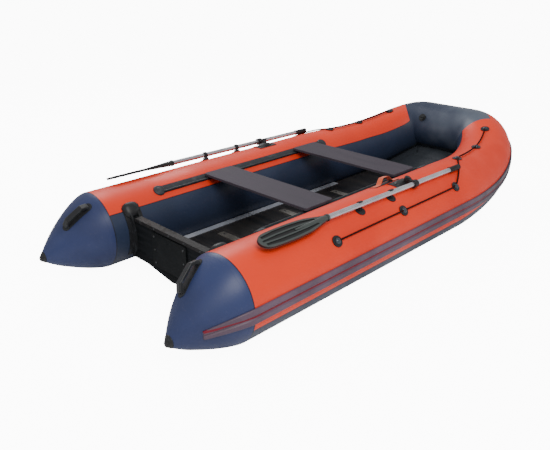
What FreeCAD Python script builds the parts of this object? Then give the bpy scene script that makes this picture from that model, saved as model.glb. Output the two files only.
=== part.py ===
import FreeCAD, Part
import math
import os
import Sketcher
from FreeCAD import Placement, Rotation, Vector

# An inflatable rowing boat with a plywood transom, lying on its tubes on a floor.
# +X runs to the bow, +Y to port and +Z up. The origin is on the floor, in the middle.

doc = FreeCAD.newDocument("rowing_boat")
sheet = doc.addObject("Spreadsheet::Sheet", "sizes")

# Driving sizes in millimetres and degrees.
# Angles round a tube start at its outer side and run over its top to its inner side.
SIZES = (
    ("boat_length", 3210),
    ("tube_radius", 210),
    ("tube_offset", 525),
    ("glue_gap", 0.3),
    ("bow_radius", 174),
    ("bow_rise", 168),
    ("bow_curve_length", 1012),
    ("bow_curve_start_handle", 245),
    ("bow_curve_end_handle", 320),
    ("bow_front_half", 181),
    ("bow_rise_length", 895),
    ("bow_rise_power", 3),
    ("seam_from_stern", 320),
    ("cone_tip_radius", 34),
    ("cone_tip_offset", 542),
    ("cone_tip_height", 143),
    ("cone_curve_power", 1.4),
    ("cap_wall", 2.5),
    ("cap_nose_length", 20),
    ("cone_handle_angle", 112),
    ("cone_handle_length", 188),
    ("cone_handle_base_width", 48),
    ("cone_handle_base", 4),
    ("cone_handle_width", 34),
    ("cone_handle_thickness", 15),
    ("cone_handle_rise", 42),
    ("cone_handle_bar_length", 156),
    ("cone_handle_shoulder", 30),
    ("cone_handle_rounding", 6),
    ("strake_top_angle", 10.5),
    ("strake_bottom_angle", -8.5),
    ("strake_thickness", 10),
    ("strake_groove_depth", 5),
    ("strake_from_stern", 118),
    ("transom_from_stern", 430),
    ("transom_thickness", 35),
    ("transom_top", 310),
    ("transom_keel_height", 42),
    ("transom_knee_offset", 215),
    ("transom_knee_height", 78),
    ("transom_edging", 3),
    ("transom_edging_depth", 16),
    ("holder_length", 100),
    ("holder_pad", 6),
    ("holder_lip", 10),
    ("holder_lip_height", 26),
    ("holder_top_angle", 137),
    ("holder_bottom_angle", 212),
    ("holder_crown_radius", 19),
    ("holder_crown_angle", 141),
    ("motor_plate_width", 284),
    ("motor_plate_height", 190),
    ("motor_plate_thickness", 9),
    ("motor_plate_drop", 6),
    ("motor_plate_corner", 14),
    ("floor_top", 80),
    ("floor_panel_thickness", 12),
    ("floor_half_width", 350),
    ("floor_clearance", 4),
    ("joiner_width", 50),
    ("joiner_wall", 3),
    ("joiner_half_length", 243),
    ("stringer_wall", 3),
    ("stringer_grip", 38),
    ("stringer_start_gap", 60),
    ("stringer_split_gap", 6),
    ("keel_height", 16),
    ("bottom_skin", 6),
    ("bottom_seam_aft_angle", 226.5),
    ("bottom_seam_bow_angle", 238.6),
    ("track_angle", 126),
    ("track_width", 48),
    ("track_band", 2.5),
    ("track_start_from_stern", 681),
    ("track_end_before_bow", 2),
    ("track_end_radius", 27),
    ("track_bead_angle", 131),
    ("track_bead_radius", 4.5),
    ("track_web", 2.5),
    ("bench_top", 405),
    ("bench_thickness", 14),
    ("bench_width", 213),
    ("bench_half_length", 405),
    ("bench_corner", 18),
    ("bench_bevel", 2),
    ("runner_wall", 3),
    ("runner_gap", 1),
    ("runner_end_inset", 12),
    ("runner_flange", 24),
    ("oar_angle", 68),
    ("oar_stand", 26),
    ("oar_shaft_radius", 14),
    ("oar_shaft_wall", 1.5),
    ("oar_yaw", 0.7),
    ("oar_pitch", 0.55),
    ("oar_blade_reach", 1160),
    ("oar_blade_length", 440),
    ("oar_blade_width", 94),
    ("oar_blade_thickness", 12),
    ("oar_blade_web", 4),
    ("oar_blade_rim", 9),
    ("oar_blade_rib", 8),
    ("oar_neck_length", 34),
    ("oar_neck_radius", 18.5),
    ("oar_grip_reach", 472),
    ("oar_grip_length", 112),
    ("oar_grip_radius", 16),
    ("oar_grip_flare", 1.5),
    ("oarlock_from_stern", 1628),
    ("oarlock_pin_offset", 48),
    ("oarlock_pin_radius", 6),
    ("oarlock_boss_radius", 17),
    ("oarlock_pad_length", 146),
    ("oarlock_pad_width", 76),
    ("oarlock_pad_thickness", 3),
    ("oarlock_pad_angle", 86),
    ("oarlock_pad_setback", 18),
    ("oarlock_dome_length", 112),
    ("oarlock_dome_width", 62),
    ("oarlock_dome_height", 18),
    ("oarlock_pin_gap", 0.5),
    ("collar_ring_radius", 22),
    ("collar_ring_length", 30),
    ("collar_hub_radius", 19),
    ("collar_hub_height", 16),
    ("collar_arm_width", 24),
    ("collar_end_gap", 1),
    ("clip_aft_from_stern", 1155),
    ("clip_fore_from_stern", 1415),
    ("clip_width", 22),
    ("clip_wall", 4),
    ("clip_gap", 1),
    ("clip_pad_radius", 28),
    ("clip_pad_thickness", 3.5),
    ("clip_pad_shift", 8),
    ("cleat_angle", 40.5),
    ("cleat_radius", 29),
    ("cleat_height", 5),
    ("cleat_dome_radius", 18),
    ("cleat_dome_height", 17),
    ("cleat_groove_radius", 2.5),
    ("first_cleat_after_seam", 570),
    ("third_cleat_before_bow", 58),
    ("bow_cleat_angle", 90),
    ("last_cleat_angle", 94),
    ("lifeline_radius", 3.5),
    ("lifeline_stand", 9),
    ("valve_offset", 131),
    ("valve_angle", 150),
    ("valve_radius", 27),
    ("valve_height", 6),
    ("valve_cap_radius", 19),
    ("valve_cap_height", 13),
    ("valve_key_width", 6),
    ("valve_key_height", 5),
    ("strap_length", 230),
    ("strap_from_stern", 1560),
    ("strap_angle", 106),
    ("strap_width", 36),
    ("strap_thickness", 4),
    ("strap_rise", 30),
    ("strap_patch", 3),
    ("strap_patch_width", 50),
)

for row, (name, amount) in enumerate(SIZES, start=1):
    sheet.set(f"A{row}", name)
    sheet.set(f"B{row}", str(amount))
    sheet.setAlias(f"B{row}", name)
doc.recompute()


def value(formula):
    """What a formula of the sheet's named sizes comes to."""
    return float(sheet.evalExpression(formula))


def size(name):
    return value("sizes." + name)


# Places that follow from the driving sizes, as formulas that the pieces are bound to.
STERN = "(-sizes.boat_length / 2)"
BOW_FRONT = f"(-{STERN} - sizes.bow_radius - sizes.strake_thickness)"
BOW_START = f"({BOW_FRONT} - sizes.bow_curve_length)"
SEAM = f"({STERN} + sizes.seam_from_stern)"
TRANSOM_AFT = f"({STERN} + sizes.transom_from_stern)"
TRANSOM_FRONT = f"({TRANSOM_AFT} + sizes.transom_thickness)"
FLOOR_UNDER = "(sizes.floor_top - sizes.floor_panel_thickness)"
BOTTOM_TOP = f"({FLOOR_UNDER} - sizes.stringer_wall - 2 * sizes.glue_gap)"

stern = value(STERN)
bow_front = value(BOW_FRONT)
bow_start = value(BOW_START)
seam_x = value(SEAM)
transom_front = value(TRANSOM_FRONT)
floor_under = value(FLOOR_UNDER)
bottom_top = value(BOTTOM_TOP)
tube_r = size("tube_radius")
tube_y = size("tube_offset")
glue = size("glue_gap")
bow_r = size("bow_radius")
rise_start = bow_front - size("bow_rise_length")
cone_tip_x = stern + size("cap_nose_length")
UP = Vector(0, 0, 1)
PORT = Vector(0, 1, 0)
AHEAD = Vector(1, 0, 0)


class Station:
    """A round section of a tube: its centre, direction, radius and own outward and up axes."""

    def __init__(self, centre, direction, radius):
        self.centre = centre
        self.direction = direction.normalize()
        self.radius = radius
        self.out = UP.cross(self.direction).normalize()
        self.up = self.direction.cross(self.out).normalize()

    def normal(self, angle):
        turn = math.radians(angle)
        return self.out * math.cos(turn) + self.up * math.sin(turn)

    def point(self, angle, stand=0.0):
        return self.centre + self.normal(angle) * (self.radius + stand)

    def frame(self, angle, stand=0.0):
        """A placement on the skin: X along the tube, Z away from it."""
        away = self.normal(angle)
        across = away.cross(self.direction)
        return Placement(self.point(angle, stand), Rotation(self.direction, across, away, "ZXY"))

    def moved(self, distance):
        return Station(self.centre + self.direction * distance, self.direction, self.radius)


def cone_station(share):
    """The port stern cone, from its tip at share 0 to the seam with the side tube at share 1."""
    swell = 1 - (1 - share) ** size("cone_curve_power")
    tip_y = size("cone_tip_offset")
    tip_z = size("cone_tip_height")
    tip_r = size("cone_tip_radius")
    centre = Vector(cone_tip_x + (seam_x - cone_tip_x) * share,
                    tip_y + (tube_y - tip_y) * swell,
                    tip_z + (tube_r - tip_z) * swell)
    return Station(centre, Vector(AHEAD), tip_r + (tube_r - tip_r) * swell)


def side_station(x):
    return Station(Vector(x, tube_y, tube_r), Vector(AHEAD), tube_r)


def bow_flat_poles():
    """The bow's centreline seen from above is one cubic curve with these four poles."""
    half = size("bow_front_half")
    return (Vector(bow_start, tube_y, 0),
            Vector(bow_start + size("bow_curve_start_handle"), tube_y, 0),
            Vector(bow_front, half + size("bow_curve_end_handle"), 0),
            Vector(bow_front, half, 0))


def bow_station(share):
    """A section of the side tube in the bow, where it bends in, climbs and narrows."""
    first, second, third, fourth = bow_flat_poles()
    back = 1 - share
    flat = first * back ** 3 + second * (3 * share * back ** 2)
    flat = flat + third * (3 * share ** 2 * back) + fourth * share ** 3
    slope = (second - first) * back ** 2 + (third - second) * (2 * share * back)
    slope = slope + (fourth - third) * share ** 2
    reach = max(flat.x - rise_start, 0) / size("bow_rise_length")
    power = size("bow_rise_power")
    climb = size("bow_rise") * power * reach ** (power - 1) / size("bow_rise_length")
    centre = Vector(flat.x, flat.y, tube_r + size("bow_rise") * reach ** power)
    direction = Vector(slope.x, slope.y, slope.x * climb)
    return Station(centre, direction, tube_r + (bow_r - tube_r) * reach)


def front_station(y):
    height = bow_station(1).centre.z
    return Station(Vector(bow_front, y, height), Vector(0, -1, 0), bow_r)


HALVING_COUNT = 36


def crossing(low, high, is_before):
    """Halves the span from low to high until it closes on the place where is_before ends."""
    for _ in range(HALVING_COUNT):
        middle = (low + high) / 2
        if is_before(middle):
            low = middle
        else:
            high = middle
    return low


def station_at(x):
    """The side tube's section whose centre lies at x, in its straight part or in the bow."""
    if x <= bow_start:
        return side_station(x)
    return bow_station(crossing(0, 1, lambda share: bow_station(share).centre.x < x))


def skin_point(x, angle, stand):
    """The point of the port tube's skin that lies at x and at one angle round the tube."""
    if x <= bow_start:
        return side_station(x).point(angle, stand)
    share = crossing(0, 1, lambda tried: bow_station(tried).point(angle, stand).x < x)
    return bow_station(share).point(angle, stand)


def skin_angle(x, height, stand):
    """The angle at which the tube's inner lower skin is at one height, at x."""
    inner_side, under_side = 180, 270
    return crossing(inner_side, under_side, lambda angle: skin_point(x, angle, stand).z > height)


# Ways of making a piece: each is an object of the document, bound to the sheet.
def bind(made, formulas):
    for name, formula in formulas.items():
        made.setExpression(name, formula)
    return made


def block(name, length, width, height, x, y, z):
    """A box whose sizes and low corner are formulas."""
    made = doc.addObject("Part::Box", name)
    return bind(made, {"Length": length, "Width": width, "Height": height,
                       "Placement.Base.x": x, "Placement.Base.y": y, "Placement.Base.z": z})


def cylinder(name, radius, height, place=None):
    """A cylinder whose radius and height are formulas, set up along its placement's Z."""
    made = doc.addObject("Part::Cylinder", name)
    made.Placement = place or Placement()
    return bind(made, {"Radius": radius, "Height": height})


def along_tube(name, radius, start, end, low_angle=None, sweep=None):
    """A bar along the port side tube's own axis, whole or only from one angle on, over a sweep."""
    made = doc.addObject("Part::Cylinder", name)
    turn = math.radians(value(low_angle)) if low_angle else 0
    out = PORT * math.cos(turn) + UP * math.sin(turn)
    made.Placement = Placement(Vector(), Rotation(out, AHEAD.cross(out), AHEAD, "ZXY"))
    bind(made, {"Radius": radius, "Height": f"{end} - {start}", "Placement.Base.x": start,
                "Placement.Base.y": "sizes.tube_offset", "Placement.Base.z": "sizes.tube_radius"})
    if sweep:
        made.setExpression("Angle", sweep)
    return made


def joined(name, *shapes):
    made = doc.addObject("Part::MultiFuse", name)
    made.Shapes = list(shapes)
    made.Refine = True
    return made


def shared_part(name, *shapes):
    made = doc.addObject("Part::MultiCommon", name)
    made.Shapes = list(shapes)
    made.Refine = True
    return made


def group(name, *shapes):
    made = doc.addObject("Part::Compound", name)
    made.Links = list(shapes)
    return made


def trimmed(name, base, *tools):
    made = doc.addObject("Part::Cut", name)
    made.Base = base
    made.Tool = tools[0] if len(tools) == 1 else group(name + "_tools", *tools)
    made.Refine = True
    return made


def mirrored(name, source):
    made = doc.addObject("Part::Mirroring", name)
    made.Source = source
    made.Base = Vector()
    made.Normal = PORT
    return made


def section(name, shape):
    made = doc.addObject("Part::Feature", name)
    made.Shape = shape
    return made


def ring(name, station, stand=0.0):
    """The circle of one station, as a section to loft through."""
    made = doc.addObject("Part::Circle", name)
    made.Radius = station.radius + stand
    made.Placement = Placement(station.centre, Rotation(station.out, station.up, station.direction, "ZXY"))
    return made


def loft(name, sections, ruled=False):
    made = doc.addObject("Part::Loft", name)
    made.Sections = sections
    made.Solid = True
    made.Ruled = ruled
    return made


def ring_loft(name, stations, stand=0.0, ruled=False):
    return loft(name, [ring(f"{name}_ring_{index}", station, stand)
                       for index, station in enumerate(stations, start=1)], ruled)


def layer(name, start, end, inner_stand, outer_stand, low_angle, sweep):
    """A layer round the port side tube, between two angles and two heights above its skin."""
    outer = along_tube(name + "_outer", f"sizes.tube_radius + {outer_stand}", start, end, low_angle, sweep)
    inner = along_tube(name + "_inner", f"sizes.tube_radius + {inner_stand}", start, end)
    return trimmed(name, outer, inner)


def outline(body, role, corners):
    """A closed sketch on one of its body's own planes, each corner bound to two formulas."""
    sketch = body.newObject("Sketcher::SketchObject", body.Name + "_outline")
    plane = [feature for feature in body.Origin.OriginFeatures if feature.Role == role][0]
    sketch.AttachmentSupport = [(plane, "")]
    sketch.MapMode = "FlatFace"
    places = [Vector(value(across), value(upward), 0) for across, upward in corners]
    for here, there in zip(places, places[1:] + places[:1]):
        sketch.addGeometry(Part.LineSegment(here, there), False)
    last = len(places) - 1
    for index in range(len(places)):
        following = 0 if index == last else index + 1
        sketch.addConstraint(Sketcher.Constraint("Coincident", index, 2, following, 1))
    for index, ((across, upward), place) in enumerate(zip(corners, places)):
        for way, axis, formula, amount in (("DistanceX", -2, across, place.x), ("DistanceY", -1, upward, place.y)):
            if formula == "0":
                sketch.addConstraint(Sketcher.Constraint("PointOnObject", index, 1, axis))
            else:
                number = sketch.addConstraint(Sketcher.Constraint(way, -1, 1, index, 1, amount))
                sketch.setExpression(f"Constraints[{number}]", formula)
    return sketch


def padded(body, sketch, length, midplane=False):
    pad = body.newObject("PartDesign::Pad", body.Name + "_pad")
    pad.Profile = sketch
    pad.Midplane = midplane
    pad.setExpression("Length", length)
    return pad


def rounded(body, base, radius, picks):
    """Rounds the edges of a body's last feature that a test picks."""
    doc.recompute()
    names = [f"Edge{index}" for index, edge in enumerate(base.Shape.Edges, start=1) if picks(edge)]
    fillet = body.newObject("PartDesign::Fillet", body.Name + "_rounding")
    fillet.Base = (base, names)
    fillet.setExpression("Radius", radius)
    return fillet


def runs_along(way):
    """A test for straight edges that run along one direction."""
    def test(edge):
        straight = edge.Curve.TypeId == "Part::GeomLine"
        return straight and edge.tangentAt(edge.FirstParameter).cross(way).Length < 0.01
    return test


nodes = []


def node(made, label):
    """One of the boat's separate pieces, with its label as its file's name."""
    made.Label = label
    nodes.append(made)
    return made


def pair(name, made):
    """A port piece and its mirror image on the starboard side."""
    node(made, name + "_port")
    node(mirrored(name + "_starboard", made), name + "_starboard")


# Buoyancy tubes: straight sides with a rising, narrowing bow bend, a cross tube between the
# corner seams at the bow, and a cone behind each side's stern seam.
CONE_SHARES = (0.0, 0.12, 0.3, 0.5, 0.7, 0.86, 1.0)
BOW_SEAM_SHARE = 0.857
CAP_SHARE = 0.1
BOW_SPAN_COUNT = 12
CORNER_SPAN_COUNT = 10

bow_stations = [bow_station(BOW_SEAM_SHARE * step / BOW_SPAN_COUNT) for step in range(BOW_SPAN_COUNT + 1)]


def front_stations_across():
    """The stations of the cross tube, from its port corner seam to its starboard one."""
    corner = []
    for step in range(CORNER_SPAN_COUNT + 1):
        share = BOW_SEAM_SHARE + (1 - BOW_SEAM_SHARE) * step / CORNER_SPAN_COUNT
        corner.append(bow_station(share))
    corner[0] = corner[0].moved(glue)
    far_corner = []
    for station in reversed(corner):
        flipped = Vector(station.centre.x, -station.centre.y, station.centre.z)
        way = Vector(-station.direction.x, station.direction.y, -station.direction.z)
        far_corner.append(Station(flipped, way, station.radius))
    return corner + far_corner


front_stations = front_stations_across()


def cone_stations(low, high):
    shares = [low] + [share for share in CONE_SHARES if low < share < high] + [high]
    return [cone_station(share) for share in shares]


straight = along_tube("side_tube_straight", "sizes.tube_radius", SEAM, BOW_START)
bend = ring_loft("side_tube_bend", bow_stations)
pair("side_tube", joined("side_tube_port", straight, bend))
node(ring_loft("bow_tube", front_stations, 0.0, True), "bow_tube")
pair("stern_cone", ring_loft("stern_cone_port", cone_stations(CAP_SHARE, 1.0)))

# Room that the tubes and a glue line take, to cut glued and rested pieces back to.
side_room = along_tube("side_room", "sizes.tube_radius + sizes.glue_gap", SEAM, BOW_START)
bend_room = ring_loft("bend_room", bow_stations, glue)
front_room = ring_loft("front_room", front_stations, glue, True)
cone_room = ring_loft("cone_room", cone_stations(0.0, 1.0), glue)

# Moulded black caps on the cones' tips.
CAP_SHARES = (1.0, 0.5, 0.0)
NOSE_SHARES = ((0.4, 0.9), (0.75, 0.66), (0.94, 0.36), (1.0, 0.12))
cap_rings = []
for share in CAP_SHARES:
    cap_rings.append(ring(f"cap_ring_{len(cap_rings)}", cone_station(CAP_SHARE * share), size("cap_wall")))
nose = cone_station(0.0)
nose_r = nose.radius + size("cap_wall")
for length_share, radius_share in NOSE_SHARES:
    centre = nose.centre - AHEAD * (size("cap_nose_length") * length_share)
    cap_rings.append(ring(f"cap_ring_{len(cap_rings)}", Station(centre, Vector(AHEAD), nose_r * radius_share)))
pair("cone_cap", loft("cone_cap_port", cap_rings))

# Moulded grab handles on the cones' inner upper faces: a base that follows the skin and a bar
# that rises off it on two shoulders, with room for fingers under it.
HANDLE_SHARES = (0.36, 0.84)
handle_angle = size("cone_handle_angle")
handle_low = cone_station(HANDLE_SHARES[0])
handle_high = cone_station(HANDLE_SHARES[1])
handle_start = handle_low.point(handle_angle)
handle_end = handle_high.point(handle_angle)
handle_along = (handle_end - handle_start).normalize()
handle_away = (handle_low.normal(handle_angle) + handle_high.normal(handle_angle)).normalize()
handle_across = handle_away.cross(handle_along).normalize()
handle_away = handle_along.cross(handle_across)
handle_frame = Placement((handle_start + handle_end) / 2,
                         Rotation(handle_along, handle_across, handle_away, "ZXY"))

base_r = size("cone_handle_base_width") / 2
base_half = size("cone_handle_length") / 2 - base_r
base_depth = Vector(0, 0, -size("cone_handle_base_width"))
base_shapes = []
for way in (-1, 1):
    place = handle_frame.multiply(Placement(Vector(way * base_half, 0, 0) + base_depth, Rotation()))
    base_shapes.append(cylinder(f"handle_base_end_{way + 2}", "sizes.cone_handle_base_width / 2",
                                "2 * sizes.cone_handle_base_width", place))
base_middle = doc.addObject("Part::Box", "handle_base_middle")
bind(base_middle, {"Length": "sizes.cone_handle_length - sizes.cone_handle_base_width",
                   "Width": "sizes.cone_handle_base_width", "Height": "2 * sizes.cone_handle_base_width"})
base_middle.Placement = handle_frame.multiply(Placement(Vector(-base_half, -base_r, 0) + base_depth, Rotation()))
base_shell = ring_loft("handle_base_shell", cone_stations(0.0, 1.0), glue + size("cone_handle_base"))
handle_base = shared_part("handle_base", joined("handle_base_slot", base_middle, *base_shapes), base_shell)

bar = doc.addObject("PartDesign::Body", "handle_bar")
HALF_BAR = "sizes.cone_handle_bar_length / 2"
HALF_TOP = "sizes.cone_handle_bar_length / 2 - sizes.cone_handle_shoulder"
RISE = "sizes.cone_handle_rise"
WALL = "sizes.cone_handle_thickness"
SHARED_SHOULDER = "sizes.cone_handle_rise / 2"
bar_sketch = outline(bar, "XZ_Plane", (
    (f"-({HALF_BAR})", f"-({WALL})"), (f"-({HALF_BAR})", SHARED_SHOULDER), (f"-({HALF_TOP})", RISE),
    (HALF_TOP, RISE), (HALF_BAR, SHARED_SHOULDER), (HALF_BAR, f"-({WALL})"),
    (f"{HALF_BAR} - {WALL}", f"-({WALL})"), (f"{HALF_BAR} - {WALL}", f"{SHARED_SHOULDER} - {WALL} / 2"),
    (f"{HALF_TOP} - {WALL} / 3", f"{RISE} - {WALL}"), (f"-({HALF_TOP} - {WALL} / 3)", f"{RISE} - {WALL}"),
    (f"-({HALF_BAR} - {WALL})", f"{SHARED_SHOULDER} - {WALL} / 2"), (f"-({HALF_BAR} - {WALL})", f"-({WALL})")))
bar_pad = padded(bar, bar_sketch, "sizes.cone_handle_width", True)
bar_low = value(SHARED_SHOULDER) - glue
bar_side = size("cone_handle_width") / 2 - glue
rounded(bar, bar_pad, "sizes.cone_handle_rounding",
        lambda edge: min(vertex.Z for vertex in edge.Vertexes) > bar_low
        and abs(sum(vertex.Y for vertex in edge.Vertexes)) > 2 * bar_side)
bar.Placement = handle_frame
pair("cone_handle", trimmed("cone_handle_port", joined("handle_whole", handle_base, bar), cone_room))

# Rubber rub strake: two ribs with a groove between them, glued round the tubes' outer side.
# Its section is drawn on the skin at each station: an arc on the glue line, and the ribs outside.
RIB_SHARES = ((0.0, 0.5), (0.05, 1.0), (0.36, 1.0), (0.43, 0.0), (0.57, 0.0), (0.64, 1.0), (0.95, 1.0), (1.0, 0.5))


def strake_wire(station, back_stand):
    top = size("strake_top_angle")
    bottom = size("strake_bottom_angle")
    full = size("strake_thickness")
    groove = full - size("strake_groove_depth")
    span = top - bottom
    corners = [station.point(bottom, back_stand)]
    for share, height_share in RIB_SHARES:
        corners.append(station.point(bottom + span * share, groove + (full - groove) * height_share))
    corners.append(station.point(top, back_stand))
    edges = [Part.LineSegment(first, second).toShape() for first, second in zip(corners, corners[1:])]
    middle = station.point(bottom + span / 2, back_stand)
    edges.append(Part.Arc(corners[-1], middle, corners[0]).toShape())
    return Part.Wire(edges)


def strake_along(name, stations, back_stand=glue, ruled=False):
    return loft(name, [section(f"{name}_section_{index}", strake_wire(station, back_stand))
                       for index, station in enumerate(stations, start=1)], ruled)


cone_start_share = (stern + size("strake_from_stern") - cone_tip_x) / (seam_x - cone_tip_x)
strake_aft = strake_along("strake_aft", cone_stations(cone_start_share, 1.0))
strake_side = strake_along("strake_side", [side_station(seam_x), side_station(bow_start)])
strake_bend = strake_along("strake_bend", bow_stations)
pair("rub_strake", joined("rub_strake_port", strake_aft, strake_side, strake_bend))
node(strake_along("rub_strake_bow", front_stations, 2 * glue, True), "rub_strake_bow")

# Rubber transom holders: a pad on each tube, two lips that grip the board, and a domed crown
# that closes over the board's upper corner.
HOLDER_MIDDLE = f"({TRANSOM_AFT} + sizes.transom_thickness / 2)"
HOLDER_SWEEP = "sizes.holder_bottom_angle - sizes.holder_top_angle"
LIP_AFT = f"({TRANSOM_AFT} - sizes.glue_gap - sizes.holder_lip)"
LIP_FORE = f"({TRANSOM_FRONT} + sizes.glue_gap)"
holder_parts = [layer("holder_pad", f"({HOLDER_MIDDLE} - sizes.holder_length / 2)",
                      f"({HOLDER_MIDDLE} + sizes.holder_length / 2)", "sizes.glue_gap",
                      "sizes.glue_gap + sizes.holder_pad", "sizes.holder_top_angle", HOLDER_SWEEP)]
for index, lip_start in enumerate((LIP_AFT, LIP_FORE), start=1):
    holder_parts.append(layer(f"holder_lip_{index}", lip_start, f"({lip_start} + sizes.holder_lip)",
                              "sizes.glue_gap", "sizes.glue_gap + sizes.holder_lip_height",
                              "sizes.holder_top_angle", HOLDER_SWEEP))
crown_place = side_station(value(LIP_AFT)).point(size("holder_crown_angle"), size("holder_pad"))
crown = cylinder("holder_crown", "sizes.holder_crown_radius",
                 f"{LIP_FORE} + sizes.holder_lip - {LIP_AFT}", Placement(crown_place, Rotation(UP, AHEAD)))
holder = joined("holder_whole", crown, *holder_parts)
pair("transom_holder", trimmed("transom_holder_port", holder, side_room))

# Plywood transom between the holders, with a shallow V at its foot.
board_body = doc.addObject("PartDesign::Body", "transom_blank")
board_sketch = outline(board_body, "YZ_Plane", (
    ("0", "sizes.transom_keel_height"), ("sizes.transom_knee_offset", "sizes.transom_knee_height"),
    ("sizes.tube_offset", "sizes.transom_knee_height"), ("sizes.tube_offset", "sizes.transom_top"),
    ("-sizes.tube_offset", "sizes.transom_top"), ("-sizes.tube_offset", "sizes.transom_knee_height"),
    ("-sizes.transom_knee_offset", "sizes.transom_knee_height")))
padded(board_body, board_sketch, "sizes.transom_thickness")
board_body.setExpression("Placement.Base.x", TRANSOM_AFT)
board_end = along_tube("transom_end_port", "sizes.tube_radius + sizes.holder_pad + 2 * sizes.glue_gap",
                       TRANSOM_AFT, TRANSOM_FRONT)
node(trimmed("transom_board", board_body, board_end, mirrored("transom_end_starboard", board_end)), "transom_board")

# A grey plastic edging over the transom's top edge, and the pad that an outboard motor clamps on.
holder_reach = tube_r + size("holder_lip_height")
EDGING_HALF = ("(sizes.tube_offset - sqrt((sizes.tube_radius + sizes.holder_lip_height) ^ 2"
               " - (sizes.transom_top - sizes.tube_radius) ^ 2) - sizes.transom_edging_depth)")
EDGING_FOOT = "(sizes.transom_top - sizes.transom_edging_depth)"
edging_full = block("edging_full", "sizes.transom_thickness + 2 * (sizes.transom_edging + sizes.glue_gap)",
                    f"2 * {EDGING_HALF}", "sizes.transom_edging_depth + sizes.transom_edging",
                    f"{TRANSOM_AFT} - sizes.transom_edging - sizes.glue_gap", f"-{EDGING_HALF}", EDGING_FOOT)
edging_slot = block("edging_slot", "sizes.transom_thickness + 2 * sizes.glue_gap", f"2 * {EDGING_HALF}",
                    "sizes.transom_edging_depth + sizes.glue_gap", f"{TRANSOM_AFT} - sizes.glue_gap",
                    f"-{EDGING_HALF}", EDGING_FOOT)
node(trimmed("transom_edging", edging_full, edging_slot), "transom_edging")

plate_body = doc.addObject("PartDesign::Body", "motor_plate")
PLATE_TOP = f"({EDGING_FOOT} - sizes.motor_plate_drop)"
PLATE_FOOT = f"({PLATE_TOP} - sizes.motor_plate_height)"
plate_sketch = outline(plate_body, "YZ_Plane", (
    ("-sizes.motor_plate_width / 2", PLATE_FOOT), ("sizes.motor_plate_width / 2", PLATE_FOOT),
    ("sizes.motor_plate_width / 2", PLATE_TOP), ("-sizes.motor_plate_width / 2", PLATE_TOP)))
plate_pad = padded(plate_body, plate_sketch, "sizes.motor_plate_thickness")
rounded(plate_body, plate_pad, "sizes.motor_plate_corner", runs_along(AHEAD))
plate_body.setExpression("Placement.Base.x", f"{TRANSOM_AFT} - sizes.motor_plate_thickness")
node(plate_body, "motor_plate")

# Floor: plywood panels, with the last one drawn in between the tubes towards the bow, as far as
# the bottom's seams leave room for it.
seam_gap = 2 * glue
skin = size("bottom_skin")
front_ring = bow_station(1)
bottom_end_z = front_ring.point(size("bottom_seam_bow_angle"), seam_gap).z
top_turn = math.asin((bottom_end_z + skin - front_ring.centre.z) / (bow_r + seam_gap))
bottom_end = front_ring.centre.x - (bow_r + seam_gap) * math.cos(top_turn)


def bottom_seam(x):
    """The angle of the bottom's seam, which lies further under the tubes towards the bow."""
    share = min(max((x - transom_front) / (rise_start - transom_front), 0), 1)
    aft = size("bottom_seam_aft_angle")
    return aft + (size("bottom_seam_bow_angle") - aft) * share


floor_end = crossing(rise_start, bottom_end,
                     lambda x: skin_point(x, bottom_seam(x), seam_gap).z + skin < bottom_top)
floor_end = floor_end - size("floor_clearance")

JOINER_SHARES = (0.24, 0.488, 0.735)
PANEL_EDGE_COUNT = 8
floor_length = floor_end - transom_front
joints = [transom_front + floor_length * share for share in JOINER_SHARES]
panel_starts = [transom_front + glue] + [joint + size("joiner_wall") / 2 + glue for joint in joints]
panel_ends = [joint - size("joiner_wall") / 2 - glue for joint in joints] + [floor_end]
for index, (start, end) in enumerate(zip(panel_starts[:-1], panel_ends[:-1]), start=1):
    panel = block(f"floor_panel_{index}", f"{end} - {start}", "2 * sizes.floor_half_width",
                  "sizes.floor_panel_thickness", f"{start}", "-sizes.floor_half_width", FLOOR_UNDER)
    node(panel, f"floor_panel_{index}")

bow_edge = []
for step in range(PANEL_EDGE_COUNT + 1):
    x = panel_starts[-1] + (floor_end - panel_starts[-1]) * step / PANEL_EDGE_COUNT
    reach = skin_point(x, skin_angle(x, size("floor_top"), glue), glue).y
    bow_edge.append(Vector(x, min(size("floor_half_width"), reach - glue), 0))
bow_edge = bow_edge + [Vector(place.x, -place.y, 0) for place in reversed(bow_edge)]
bow_panel = doc.addObject("PartDesign::Body", "floor_panel_4")
bow_sketch = bow_panel.newObject("Sketcher::SketchObject", "floor_panel_4_outline")
bow_sketch.AttachmentSupport = [([feature for feature in bow_panel.Origin.OriginFeatures
                                  if feature.Role == "XY_Plane"][0], "")]
bow_sketch.MapMode = "FlatFace"
for here, there in zip(bow_edge, bow_edge[1:] + bow_edge[:1]):
    bow_sketch.addGeometry(Part.LineSegment(here, there), False)
padded(bow_panel, bow_sketch, "sizes.floor_panel_thickness")
bow_panel.setExpression("Placement.Base.z", FLOOR_UNDER)
node(bow_panel, "floor_panel_4")

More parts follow.
